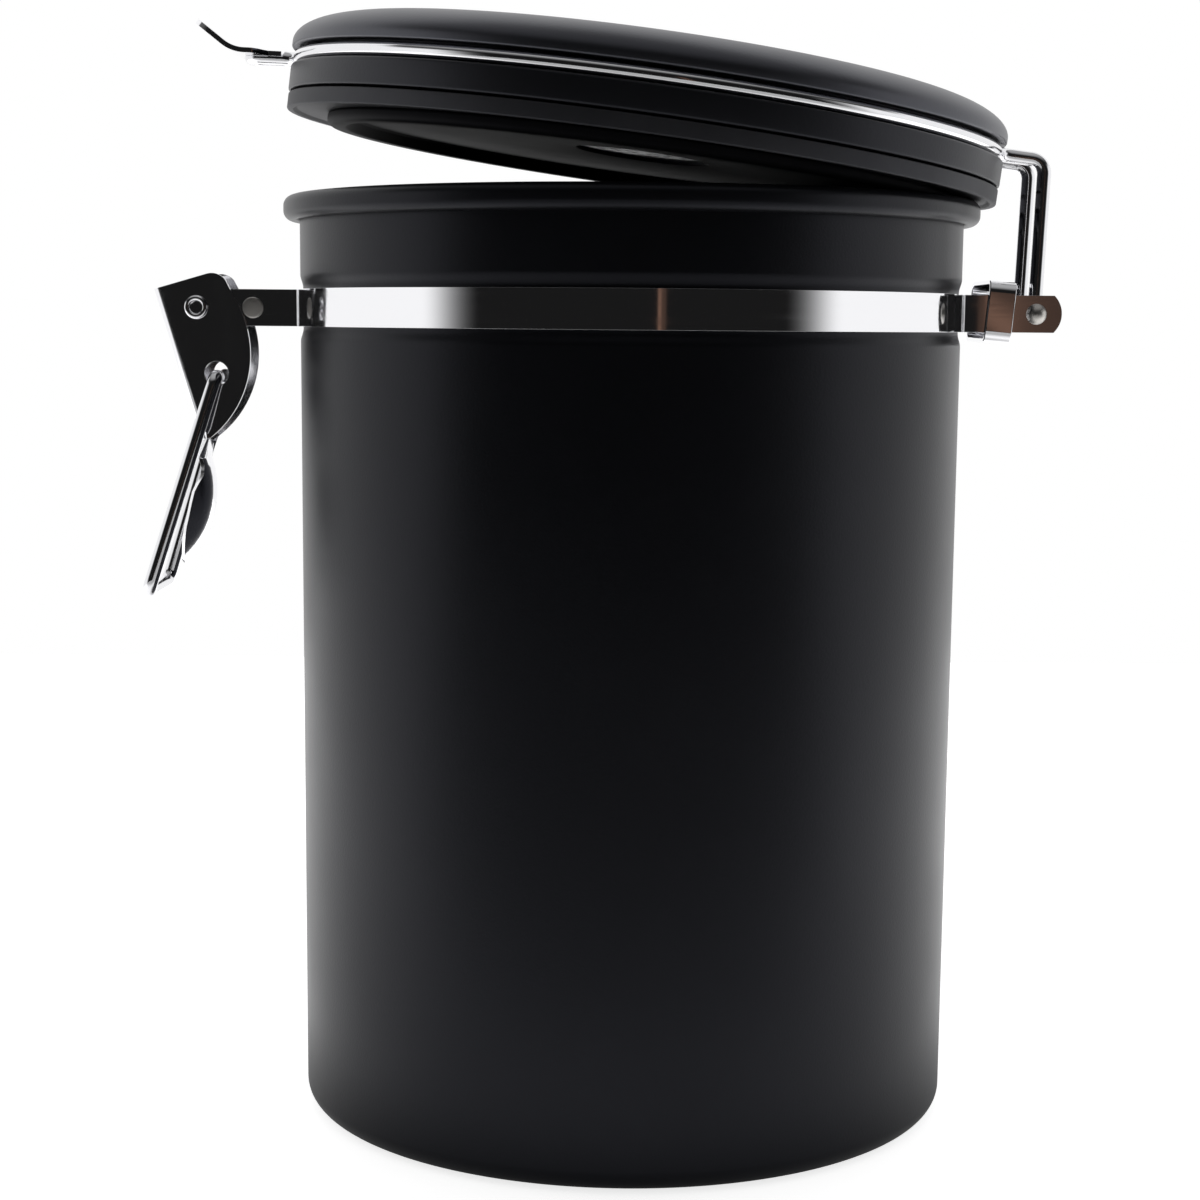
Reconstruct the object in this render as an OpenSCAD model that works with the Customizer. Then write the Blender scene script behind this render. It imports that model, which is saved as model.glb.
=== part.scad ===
// Coffee canister: a drawn steel can with a rolled rim, a two-part clamp band,
// a toggle latch with a wire loop, and a hinged lid that carries a one-way valve.
// Origin: centre of the base. +Z up, +X towards the lid hinge, -X towards the latch.
// The lid is drawn a few degrees open, resting its gasket on the rear of the rim.

/* [Can] */
// Outside diameter of the can wall
can_d = 120; // [110:1:130]
// Height of the can, base to top of the rolled rim
can_h = 167; // [140:1:210]
// Thickness of the steel wall
wall_t = 0.6; // [0.5:0.1:0.9]
// Radius of the rounded edge at the base
base_r = 4; // [3:0.5:7]
// Depth of the ring groove stamped in the base
base_recess = 1.2; // [0.6:0.2:2]
// Width of the ring groove stamped in the base
base_ring_w = 7; // [5:0.5:12]
// Width of the flat foot outside the ring groove
foot_w = 4; // [2:0.5:8]
// How far the rolled rim stands out from the can wall
rim_reach = 2.9; // [2.5:0.1:3.2]
// Height of the rolled rim
rim_h = 4.4; // [4:0.1:5.5]

/* [Clamp band] */
// Height of the clamp band
band_h = 6.6; // [5.5:0.1:8]
// Thickness of the clamp band and its ears
band_t = 0.8; // [0.6:0.1:1]
// Distance from the top of the rim down to the middle of the band
band_drop = 19.8; // [17:0.2:26]
// Depth of the groove that the band lies in
groove_depth = 0.5; // [0.3:0.1:0.7]
// Length of the groove's rounded shoulders
groove_blend = 2.4; // [1.5:0.1:3]
// Centreline radius of the bends into the ears
ear_bend_r = 1.2; // [1:0.1:1.6]

/* [Hinge] */
// Distance from the can's axis to the lid pivot
hinge_x = 72.6; // [72:0.1:76]
// Half the distance between the two hinge legs
leg_y = 8.2; // [7.4:0.1:9]
// Diameter of the hinge rivet's shank
hinge_pin_d = 2.6; // [2.2:0.1:3]
// Diameter of the hinge rivet's domed head
hinge_head_d = 3.7; // [3.4:0.1:4.4]
// Width of the sleeve that ties the hinge ears
sleeve_w = 4.8; // [3.5:0.1:5]
// Height of the sleeve that ties the hinge ears
sleeve_h = 11; // [10:0.2:12]
// Lean of the sleeve from upright, in degrees
sleeve_lean = 5; // [0:1:6]

/* [Lid] */
// Outside diameter of the lid's lower rim
lid_d = 128.8; // [128:0.2:130]
// Height of the lid's lower rim
lid_rim_h = 4.6; // [4:0.1:5.5]
// Height of the groove that the lid wire runs in
wire_groove_h = 3; // [2.9:0.1:3.6]
// Depth of the groove that the lid wire runs in
wire_groove_depth = 2.8; // [2.7:0.1:3.4]
// Height of the cap's rounded shoulder
shoulder_h = 5.4; // [4:0.2:8]
// Width of the cap's rounded shoulder
shoulder_w = 13; // [9:0.5:18]
// Rise of the cap's crown from the shoulder to the middle
crown_h = 0.6; // [0.4:0.1:2]
// Wall thickness of the moulded lid parts
lid_wall = 2.2; // [1.6:0.1:2.6]
// How far the closed lid sits towards the latch, taken up by play in the hinge
lid_shift = 1.1; // [0.8:0.1:1.2]
// Gap between the closed lid's lower rim and the can, filled by the squeezed gasket
squeeze_gap = 1.2; // [1:0.1:1.6]
// Angle by which the lid is drawn open
rest_open = 7.2; // [7:0.1:9]

/* [Gasket and plug] */
// Height of the gasket's outer lip
gasket_h = 2.2; // [1.6:0.1:2.4]
// How far the gasket's outer edge hangs below its sealing face
lip_drop = 0.55; // [0.3:0.05:0.7]
// Parting line between the lid's lower rim and the gasket lip
lip_gap = 0.35; // [0.2:0.05:0.5]
// Diameter of the plug that enters the can
plug_d = 114; // [104:0.5:114.5]
// How far the plug reaches below the lid's lower rim
plug_h = 4.8; // [4.2:0.2:6]

/* [Lid wire] */
// Diameter of the lid wire
lid_wire_d = 2.5; // [2.2:0.1:2.6]
// Half the spacing of the wire's nose under the hook plate
nose_y = 2.2; // [2:0.1:2.6]
// Length of the wire's nose beyond the bend out of the groove
nose_len = 3.6; // [3:0.2:4]
// Centreline radius of the bends out of the groove
turn_r = 3.1; // [2.8:0.1:3.6]
// Centreline radius of the bend at the top of each hinge leg
corner_r = 2.6; // [2.2:0.1:3]
// Lean of the hinge legs towards the can when the lid is closed, in degrees
leg_lean = 5.2; // [3:0.2:6]
// Dip of the nose and the hook plate, in degrees
nose_dip = 5; // [3:1:8]

/* [Hook plate] */
// Rise of the hook plate's lip, in degrees
lip_rise = 31; // [25:1:45]
// Width of the hook plate
hook_w = 15; // [12:0.5:16]
// Thickness of the hook plate
hook_t = 0.9; // [0.7:0.1:1.1]

/* [Latch] */
// Distance from the can's axis to the lever pivot
latch_x = 78.6; // [78:0.1:82]
// Half the distance between the inner faces of the latch ears
latch_gap_y = 4.2; // [3.8:0.1:4.6]
// Distance from the lever pivot back to the solid rivet
rivet_back = 10.1; // [10:0.1:12]
// Diameter of the solid rivet's head
latch_head_d = 3.8; // [3.4:0.1:4]
// Outside diameter of the lever's tubular pivot
eyelet_d = 3; // [2.6:0.1:3.2]
// Diameter of the rolled flange on the tubular pivot
eyelet_flange_d = 4.3; // [4:0.1:5]
// Thickness of the lever's sheet metal
lever_t = 0.8; // [0.6:0.1:0.9]
// Clearance between the lever's sides and the ears
lever_gap = 0.2; // [0.15:0.05:0.3]
// Tilt of the lever's back from upright, in degrees
lever_tilt = 16.4; // [14:0.2:18]
// Distance from the lever pivot to the loop's hole
loop_arm = 12.4; // [11.5:0.1:13]
// Diameter of the loop's hole
loop_hole_d = 4.4; // [4:0.1:4.8]
// Width of the finger tab
tab_w = 14; // [11:0.5:15]
// Length of the finger tab
tab_len = 20; // [16:0.5:22]

/* [Wire loop] */
// Diameter of the loop wire
loop_wire_d = 2.5; // [2.2:0.1:2.6]
// Distance from the loop's pivot to its cross wire
loop_len = 40.9; // [40:0.1:41]
// Half the width of the loop at its cross wire
loop_y = 10.5; // [10:0.1:12]
// Angle of the hanging loop from straight down, in degrees
loop_hang = 17.6; // [10:0.5:22]

/* [Valve] */
// Diameter of the vent cap in the middle of the lid
vent_d = 27; // [24:0.5:32]
// Number of slots in the vent cap
vent_slots = 12; // [8:1:16]
// Diameter of the valve housing
housing_d = 22; // [20:0.5:23]
// Diameter of the silicone valve disc
disc_d = 15; // [13:0.5:16]
// Diameter of the valve disc's stem
stem_d = 3; // [2.6:0.1:3.4]
// Lift of the valve disc when it lets gas out
valve_lift = 1; // [0.6:0.1:1.2]
// Number of gas holes round the stem
gas_holes = 6; // [4:1:8]
// Diameter of each gas hole
gas_hole_d = 2.2; // [1.6:0.1:2.4]
// Diameter of the filter disc under the plug
filter_d = 24; // [22:0.5:26]

/* [Hidden] */
$fn = 96;
fit_gap = 0.05;
running_gap = 0.07;
bend_proud = 0.01;
seam_lap = 0.05;

can_r = can_d / 2;
band_z = can_h - band_drop;
floor_r = can_r - groove_depth;
band_in_r = floor_r + fit_gap;
band_mid_r = band_in_r + band_t / 2;
rim_in_r = can_r - wall_t;
rim_w = rim_reach + wall_t;
ear_end_r = 4.6;
latch_end_r = 3.9;
sleeve_t = 0.75;
sleeve_x = hinge_x - 6.5;
sleeve_rise = 0.3;
sleeve_corner_r = 2.1;
latch_pin_d = 3;
latch_spacer_d = 4.8;

lid_r = lid_d / 2;
lid_z = can_h + squeeze_gap;
cap_z = lid_rim_h + wire_groove_h;
cap_r = lid_r + 0.2;
shoulder_z = cap_z + 1;
cap_top = shoulder_z + shoulder_h;
core_r = lid_r - wire_groove_depth;
seat_z = cap_z + 1.6;
ring_r = core_r + fit_gap + lid_wire_d / 2;
ring_z = lid_rim_h + wire_groove_h / 2 - 0.15;
plug_r = plug_d / 2;
hinge_z = band_z;
leg_top_z = lid_z + ring_z;
leg_top_x = hinge_x - (leg_top_z - hinge_z) * tan(leg_lean);
front_a = asin((nose_y + turn_r) / (ring_r + turn_r));
nose_x = -(ring_r + turn_r) * cos(front_a);
nose_dip_x = 0.6;
nose_flat = 0.15;
hinge_ear_in = leg_y + lid_wire_d / 2 + 0.15;

ear_out_y = latch_gap_y + band_t;
lever_in_y = ear_out_y + lever_gap;
lever_out_y = lever_in_y + lever_t;
lever_back = 6.55;
lever_front = 7.75;
lever_top = 5.2;
lever_bend_r = 1.6;
tab_start = 27;
neck_y = 4.1;
belly_r = tab_start * 0.717;
loop_sag = 0.6;

seat_top = 4.2;
seat_t = 1.5;
cap_pocket = cap_top - 1.6;

// Rounded and bent shapes

// Points on a circle from one angle to another
function arc_points(c, r, a0, a1, n) =
    [for (i = [0 : n]) let (a = a0 + (a1 - a0) * i / n) [c[0] + r * cos(a), c[1] + r * sin(a)]];

// Points on a smooth step from one radius to another
function step_points(r0, z0, r1, z1, n) =
    [for (i = [0 : n]) [r0 + (r1 - r0) * (1 - cos(180 * i / n)) / 2, z0 + (z1 - z0) * i / n]];

// Points on a quarter of an ellipse, from its side up to its top
function shoulder_points(r, z, w, h, n) =
    [for (i = [0 : n]) [r - w + w * cos(90 * i / n), z + h * sin(90 * i / n)]];

// A flat shape with two round ends, standing upright
module stadium(w, h) {
    r = w / 2;
    translate([-r, -h / 2 + r]) square([w, h - w]);
    for (s = [-1, 1]) translate([0, s * (h / 2 - r)]) circle(r);
}

// A rectangle with round corners
module round_rect(w, h, r) {
    square([w - 2 * r, h], center = true);
    square([w, h - 2 * r], center = true);
    for (sx = [-1, 1], sy = [-1, 1])
        translate([sx * (w / 2 - r), sy * (h / 2 - r)]) circle(r);
}

// Part of a ring in the XY plane, from angle a0 over sweep
module wire_arc(c, r, a0, sweep, d) {
    translate(c) rotate([0, 0, a0])
        rotate_extrude(angle = sweep) translate([r, 0]) circle(d / 2, $fn = 32);
}

// Unit vector
function unit(v) = v / norm(v);

// A straight stretch of wire between two points, lapping into the bends at its ends.
// Bends are drawn a hundredth of a millimetre proud of it, so that the seams close.
module wire_straight(a, b, d, lap_a = seam_lap, lap_b = seam_lap) {
    w = unit(b - a);
    u = unit(abs(w[2]) < 0.9 ? cross(w, [0, 0, 1]) : cross(w, [1, 0, 0]));
    v = cross(w, u);
    p = a - w * lap_a;
    multmatrix([[u[0], v[0], w[0], p[0]], [u[1], v[1], w[1], p[1]], [u[2], v[2], w[2], p[2]]])
        cylinder(h = norm(b - a) + lap_a + lap_b, r = d / 2 - bend_proud, $fn = 32);
}

// The bend between two straight stretches that meet at p
module wire_bend(a, p, b, r, d) {
    u = unit(p - a);
    v = unit(b - p);
    turn = acos(u * v);
    n = unit(v - (u * v) * u);
    c = p - u * r * tan(turn / 2) + n * r;
    x = -n;
    z = cross(x, u);
    multmatrix([[x[0], u[0], z[0], c[0]], [x[1], u[1], z[1], c[1]], [x[2], u[2], z[2], c[2]]])
        rotate_extrude(angle = turn) translate([r, 0]) circle(d / 2, $fn = 32);
}

// Length that a bend takes from each stretch beside it
function trim(a, p, b, r) = r * tan(acos(unit(p - a) * unit(b - p)) / 2);

// Bent wire through a list of points, with a bend radius at each inner point
module bent_wire(pts, rs, d) {
    last = len(pts) - 1;
    for (i = [0 : last - 1]) {
        u = unit(pts[i + 1] - pts[i]);
        t0 = i == 0 ? 0 : trim(pts[i - 1], pts[i], pts[i + 1], rs[i - 1]);
        t1 = i == last - 1 ? 0 : trim(pts[i], pts[i + 1], pts[i + 2], rs[i]);
        wire_straight(pts[i] + u * t0, pts[i + 1] - u * t1, d);
    }
    for (i = [1 : last - 1]) wire_bend(pts[i - 1], pts[i], pts[i + 1], rs[i - 1], d);
}

// Point a share f along one [length, radius, turn] step that starts at p, heading a
function step_point(p, a, s, f) =
    s[2] == 0 ? p + s[0] * f * [cos(a), sin(a)] :
    let (up = sign(s[2]), b = a + s[2] * f)
    p + up * s[1] * [-sin(a), cos(a)] - up * s[1] * [-sin(b), cos(b)];

// Centre line of a bent strip, as [x, z, heading], through its steps
function strip_line(steps, p, a, i = 0) =
    i == len(steps) ? [[p[0], p[1], a]] :
    let (s = steps[i], n = s[2] == 0 ? 1 : ceil(abs(s[2]) / 6))
    concat(
        [for (k = [0 : n - 1]) let (q = step_point(p, a, s, k / n)) [q[0], q[1], a + s[2] * k / n]],
        strip_line(steps, step_point(p, a, s, 1), a + s[2], i + 1));

// Outline of a bent strip of thickness t along its centre line
function strip_outline(line, t) = concat(
    [for (q = line) [q[0] - sin(q[2]) * t / 2, q[1] + cos(q[2]) * t / 2]],
    [for (i = [len(line) - 1 : -1 : 0]) let (q = line[i])
        [q[0] + sin(q[2]) * t / 2, q[1] - cos(q[2]) * t / 2]]);

// A round pin along Y
module pin_y(x, z, d, y0, y1) {
    translate([x, y0, z]) rotate([-90, 0, 0]) cylinder(h = y1 - y0, d = d);
}

// A shape drawn in X and Z, given a thickness along Y
module slab_y(y0, y1) {
    translate([0, y1, 0]) rotate([90, 0, 0]) linear_extrude(y1 - y0) children();
}

// Moves the closed lid to its place, opened about the hinge
module lid_place() {
    translate([hinge_x, 0, hinge_z]) rotate([0, rest_open, 0]) translate([-hinge_x, 0, -hinge_z])
        translate([-lid_shift, 0, lid_z]) children();
}

// Moves the lever from its own frame: pivot at the origin, tab along -Z, can towards +X
module lever_place() {
    translate([-latch_x, 0, band_z]) rotate([0, -lever_tilt, 0]) children();
}

// Can

module can_section() {
    g = band_h / 2 + 0.3;
    z1 = band_z - g - groove_blend;
    z2 = band_z - g;
    z3 = band_z + g;
    z4 = band_z + g + groove_blend;
    neck_z = can_h - rim_h / 2;
    foot_r = can_r - base_r;
    ring_out = foot_r - foot_w;
    ring_in = ring_out - base_ring_w;
    slope_w = 1.4;
    // A bent sheet's inner corners lie a little to the side of its outer ones
    k = wall_t * tan(atan(base_recess / slope_w) / 2);
    w = wall_t;
    outer = concat(
        [[0, 0], [ring_in, 0], [ring_in + slope_w, base_recess],
         [ring_out - slope_w, base_recess], [ring_out, 0]],
        arc_points([foot_r, base_r], base_r, -90, 0, 10),
        step_points(can_r, z1, floor_r, z2, 8),
        step_points(floor_r, z3, can_r, z4, 8),
        [[can_r, neck_z]]);
    inner = concat(
        [[rim_in_r, neck_z]],
        step_points(can_r - w, z4, floor_r - w, z3, 8),
        step_points(floor_r - w, z2, can_r - w, z1, 8),
        arc_points([foot_r, base_r], base_r - w, 0, -90, 10),
        [[ring_out + k, w], [ring_out - slope_w + k, base_recess + w],
         [ring_in + slope_w - k, base_recess + w], [ring_in - k, w], [0, w]]);
    polygon(concat(outer, inner));
}

module rim_section() {
    translate([rim_in_r + rim_w / 2, can_h - rim_h / 2]) difference() {
        stadium(rim_w, rim_h);
        stadium(rim_w - 2 * wall_t, rim_h - 2 * wall_t);
        // The curled edge stops short of the wall
        translate([-rim_w / 2 + wall_t, -rim_h / 2 - 1]) square([wall_t, rim_h / 2]);
    }
}

module can_body() {
    color([0.13, 0.13, 0.14]) rotate_extrude($fn = 180) {
        can_section();
        rim_section();
    }
}

// Clamp band

// Centre of the bend between the band and an ear whose middle is at y
function ear_bend_x(y) = sqrt(pow(band_mid_r + ear_bend_r, 2) - pow(y + ear_bend_r, 2));

// Sector of a ring, as a flat shape
module ring_sector(r0, r1, a0, a1) {
    far = r1 * 1.5;
    intersection() {
        difference() {
            circle(r1);
            circle(r0);
        }
        polygon(concat([[0, 0]], arc_points([0, 0], far, a0, a1, 4)));
    }
}

module band_half() {
    hinge_mid = hinge_ear_in + band_t / 2;
    latch_mid = latch_gap_y + band_t / 2;
    hx = ear_bend_x(hinge_mid);
    lx = ear_bend_x(latch_mid);
    hinge_a = asin((hinge_mid + ear_bend_r) / (band_mid_r + ear_bend_r));
    latch_a = asin((latch_mid + ear_bend_r) / (band_mid_r + ear_bend_r));
    r0 = ear_bend_r - band_t / 2;
    r1 = ear_bend_r + band_t / 2;
    translate([0, 0, band_z - band_h / 2]) linear_extrude(band_h) {
        difference() {
            circle(band_in_r + band_t, $fn = 180);
            circle(band_in_r, $fn = 180);
            polygon([[0, 0], [can_r * 2 * cos(latch_a), -can_r * 2 * sin(latch_a)] * -1,
                     [-can_r * 2, can_r * 2], [can_r * 2, can_r * 2],
                     [can_r * 2 * cos(hinge_a), -can_r * 2 * sin(hinge_a)]]);
            polygon([[0, 0], [-can_r * 2 * cos(latch_a), -can_r * 2 * sin(latch_a)],
                     [-can_r * 2, can_r * 2]]);
        }
        translate([hx, -hinge_mid - ear_bend_r]) ring_sector(r0, r1, 90, 180 - hinge_a);
        translate([-lx, -latch_mid - ear_bend_r]) ring_sector(r0, r1, latch_a, 90);
    }
    difference() {
        slab_y(-hinge_ear_in - band_t, -hinge_ear_in) intersection() {
            translate([hx, band_z - band_h / 2]) square([hinge_x + ear_end_r - hx, band_h]);
            union() {
                translate([hinge_x, hinge_z]) circle(ear_end_r);
                translate([hx, band_z - band_h / 2]) square([hinge_x - hx, band_h]);
            }
        }
        pin_y(hinge_x, hinge_z, hinge_pin_d + 2 * fit_gap, -hinge_ear_in - 5, 0);
    }
    difference() {
        slab_y(-ear_out_y, -latch_gap_y) intersection() {
            translate([-latch_x - latch_end_r, band_z - band_h / 2])
                square([latch_x + latch_end_r - lx, band_h]);
            union() {
                translate([-latch_x, band_z]) circle(latch_end_r);
                translate([-latch_x, band_z - band_h / 2]) square([latch_x - lx, band_h]);
            }
        }
        pin_y(-latch_x, band_z, eyelet_d + 2 * fit_gap, -ear_out_y - 5, 0);
        pin_y(-latch_x + rivet_back, band_z, latch_pin_d + 2 * fit_gap, -ear_out_y - 5, 0);
    }
}

module band_front() {
    color([0.8, 0.8, 0.82]) band_half();
}

module band_rear() {
    color([0.8, 0.8, 0.82]) mirror([0, 1, 0]) band_half();
}

module hinge_sleeve() {
    y = hinge_ear_in + band_t + 2 * fit_gap;
    color([0.75, 0.75, 0.77]) translate([sleeve_x, 0, band_z + sleeve_rise])
        rotate([0, sleeve_lean, 0]) rotate([90, 0, 90]) translate([0, 0, -sleeve_w / 2])
        linear_extrude(sleeve_w) difference() {
            round_rect(2 * (y + sleeve_t), sleeve_h, sleeve_corner_r);
            round_rect(2 * y, sleeve_h - 2 * sleeve_t, sleeve_corner_r - sleeve_t);
        }
}

// A shallow round rivet head that faces +Z
module rivet_head(d, h) {
    r = (d * d / 4 + h * h) / (2 * h);
    intersection() {
        translate([0, 0, h - r]) sphere(r, $fn = 64);
        cylinder(h = h + 1, d = d + 1);
    }
}

module hinge_rivet() {
    y = hinge_ear_in + band_t;
    color([0.78, 0.76, 0.74]) {
        pin_y(hinge_x, hinge_z, hinge_pin_d, -y, y);
        for (s = [-1, 1]) translate([hinge_x, s * y, hinge_z]) rotate([-90 * s, 0, 0])
            rivet_head(hinge_head_d, 1.1);
    }
}

module latch_rivet() {
    x = -latch_x + rivet_back;
    color([0.45, 0.45, 0.46]) {
        pin_y(x, band_z, latch_pin_d, -ear_out_y, ear_out_y);
        for (s = [-1, 1]) translate([x, s * ear_out_y, band_z]) rotate([-90 * s, 0, 0]) {
            cylinder(h = 0.35, d = latch_head_d);
            translate([0, 0, 0.35]) cylinder(h = 0.2, d1 = latch_head_d, d2 = latch_head_d - 0.4);
        }
    }
}

module latch_spacer() {
    y = latch_gap_y - 0.02;
    color([0.6, 0.6, 0.61]) difference() {
        pin_y(-latch_x + rivet_back, band_z, latch_spacer_d, -y, y);
        pin_y(-latch_x + rivet_back, band_z, latch_pin_d + 2 * fit_gap, -y - 1, y + 1);
    }
}

module lever_eyelet() {
    y = lever_out_y + 0.12;
    lip = 0.55;
    color([0.82, 0.82, 0.83]) difference() {
        union() {
            pin_y(-latch_x, band_z, eyelet_d, -y - lip, y + lip);
            for (s = [-1, 1]) translate([-latch_x, s * y, band_z]) rotate([-90 * s, 0, 0]) {
                cylinder(h = lip * 0.6, d = eyelet_flange_d);
                translate([0, 0, lip * 0.6])
                    cylinder(h = lip * 0.4, d1 = eyelet_flange_d, d2 = eyelet_flange_d - 0.7);
            }
        }
        pin_y(-latch_x, band_z, eyelet_d - 0.8, -y - 2, y + 2);
    }
}

// Latch lever, in its own frame: pivot at the origin, tab along -Z, can towards +X

// Outline of the lever's side, from the top down its curved belly to the back
module lever_side() {
    nose_r = lever_top * 0.6;
    belly = arc_points([lever_front - belly_r, -lever_top], belly_r, 9, -69, 18);
    polygon(concat(
        [[-lever_back, -tab_start + 1.5], [-lever_back, lever_top]],
        arc_points([lever_front - 4.2, lever_top - nose_r], nose_r, 90, 22, 6),
        belly,
        [[-lever_back + lever_t, -tab_start + 2]]));
}

module lever_channel_section() {
    r = lever_bend_r;
    w = lever_out_y;
    deep = 2 * lever_back + 2 * lever_front;
    difference() {
        translate([-lever_back, -w]) union() {
            translate([r, 0]) square([deep, 2 * w]);
            translate([0, r]) square([deep, 2 * w - 2 * r]);
            for (y = [r, 2 * w - r]) translate([r, y]) circle(r);
        }
        translate([-lever_back + lever_t, -lever_in_y]) union() {
            translate([r - lever_t, 0]) square([deep + 1, 2 * lever_in_y]);
            translate([0, r - lever_t]) square([deep + 1, 2 * (lever_in_y - r + lever_t)]);
            for (y = [r - lever_t, 2 * lever_in_y - r + lever_t])
                translate([r - lever_t, y]) circle(r - lever_t);
        }
    }
}

// The finger tab: a dished spoon with a rounded outline
module lever_tab() {
    across_r = 9.7;
    along_r = 18.7;
    bulge = 2.9;
    lean = 31.6;
    mid = tab_len / 2;
    outline = concat(
        [[-3.5, -neck_y + 0.2], [0, -neck_y]],
        arc_points([7.5, -1.6], tab_w / 2 - 1.6, -125, -75, 5),
        arc_points([tab_len - 6.6, 0], 6.6, -60, 60, 10),
        arc_points([7.5, 1.6], tab_w / 2 - 1.6, 75, 125, 5),
        [[0, neck_y], [-3.5, neck_y - 0.2]]);
    translate([-lever_back + 0.15, 0, -tab_start]) rotate([0, 90 + lean, 0]) intersection() {
        translate([mid, 0, bulge - along_r]) rotate([90, 0, 0])
            rotate_extrude($fn = 120) translate([along_r - across_r, 0]) difference() {
                intersection() {
                    circle(across_r);
                    translate([0, -across_r]) square(2 * across_r);
                }
                circle(across_r - lever_t - 0.1);
            }
        translate([0, 0, -across_r]) linear_extrude(2 * across_r) polygon(outline);
    }
}

module latch_lever() {
    color([0.83, 0.83, 0.85]) lever_place() {
        difference() {
            intersection() {
                translate([0, 0, -tab_start]) linear_extrude(2 * tab_start) lever_channel_section();
                slab_y(-lever_out_y - 1, lever_out_y + 1) lever_side();
            }
            pin_y(0, 0, eyelet_d + 2 * running_gap, -10, 10);
            pin_y(0, -loop_arm, loop_hole_d, -10, 10);
        }
        translate([-lever_back, -neck_y, -tab_start - 0.6]) cube([lever_t, 2 * neck_y, 4.4]);
        lever_tab();
    }
}

// Wire loop

module loop_place() {
    lever_place() translate([0, 0, -loop_arm]) rotate([0, lever_tilt, 0])
        translate([0, 0, -loop_sag]) rotate([0, loop_hang, 0]) children();
}

module wire_loop() {
    stub = lever_in_y - 0.7;
    top_y = lever_out_y + loop_wire_d / 2 + 0.35;
    pts = [[0, -stub, 0], [0, -top_y, 0], [0, -loop_y, -loop_len],
           [0, loop_y, -loop_len], [0, top_y, 0], [0, stub, 0]];
    color([0.85, 0.85, 0.87]) loop_place() bent_wire(pts, [1.5, 2.4, 2.4, 1.5], loop_wire_d);
}

// Lid, drawn closed with its axis on Z and the underside of its lower rim at z = 0

module lid_cap_section() {
    mid_r = (cap_r - shoulder_w) * 0.66;
    mid_z = cap_top + crown_h * 0.55;
    bore_r = housing_d / 2 + 0.1;
    outer = concat([[cap_r, cap_z]],
        shoulder_points(cap_r, shoulder_z, shoulder_w, shoulder_h, 14),
        [[mid_r, mid_z], [vent_d / 2 + 2.4, cap_top + crown_h], [vent_d / 2 + 1.6, cap_top + crown_h],
         [vent_d / 2 + 0.25, cap_top + crown_h - 0.9], [vent_d / 2 + 0.25, cap_pocket],
         [bore_r, cap_pocket], [bore_r, cap_pocket - lid_wall]]);
    inner = concat(
        [[vent_d / 2 + 2.4, cap_top + crown_h - lid_wall - 0.6], [mid_r, mid_z - lid_wall]],
        [for (a = [90 : -6 : 48]) [cap_r - shoulder_w + (shoulder_w - lid_wall) * cos(a),
            shoulder_z + (shoulder_h - lid_wall) * sin(a)]],
        [[core_r - lid_wall - 0.4, seat_z], [core_r + 0.1, seat_z], [core_r + 0.1, cap_z]]);
    polygon(concat(outer, inner));
}

module lid_cap() {
    color([0.2, 0.2, 0.21]) lid_place() rotate_extrude($fn = 180) lid_cap_section();
}

module lid_base() {
    r = lid_r;
    c = core_r;
    color([0.17, 0.17, 0.18]) lid_place() rotate_extrude($fn = 180) polygon([
        [housing_d / 2 + 0.1, 0], [r - 0.3, 0], [r, 0.3], [r, lid_rim_h - 0.3],
        [r - 0.3, lid_rim_h], [c, lid_rim_h], [c, seat_z], [c - lid_wall, seat_z],
        [c - lid_wall, lid_wall], [housing_d / 2 + 0.1, lid_wall]]);
}

module lid_plug() {
    neck_r = plug_r - 1.2;
    hole_r = filter_d / 2 + 0.1;
    color([0.12, 0.12, 0.13]) lid_place() rotate_extrude($fn = 180) polygon(concat(
        [[housing_d / 2 + 0.1, 0], [housing_d / 2 + 0.1, -0.9], [hole_r, -0.9],
         [hole_r, -2.3], [plug_r - 5.2, -2.6], [plug_r - 4.4, -3], [plug_r - 3.4, -plug_h]],
        arc_points([plug_r - 1.2, -plug_h + 1.2], 1.2, -90, 0, 5),
        [[plug_r, -gasket_h - lip_gap - 0.25], [neck_r, -gasket_h - lip_gap - 0.25],
         [neck_r, 0]]));
}

module lid_gasket() {
    neck_r = plug_r - 1.2 + fit_gap;
    lip_r = lid_r - 0.2;
    foot_r = neck_r + (lip_r - neck_r) * 0.5;
    h = gasket_h + lip_gap;
    color([0.22, 0.22, 0.23]) lid_place() rotate_extrude($fn = 180) polygon(concat(
        [[neck_r, 0], [neck_r, -h], [lip_r - 1.6, -h], [lip_r - 1, -h - lip_drop],
         [lip_r - 0.2, -h - lip_drop], [lip_r, -h - lip_drop + 0.25]],
        [[lip_r + 0.1, -lip_gap - 0.2], [lip_r - 0.2, -lip_gap], [foot_r, -lip_gap],
         [foot_r - lip_gap, 0]]));
}

// Space above the nose, where the wire is pressed flat for the hook plate
module nose_cut() {
    translate([nose_x - nose_dip_x, 0, ring_z]) rotate([0, -nose_dip, 0])
        translate([-12, -8, nose_flat]) cube([12, 16, 4]);
}

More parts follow.
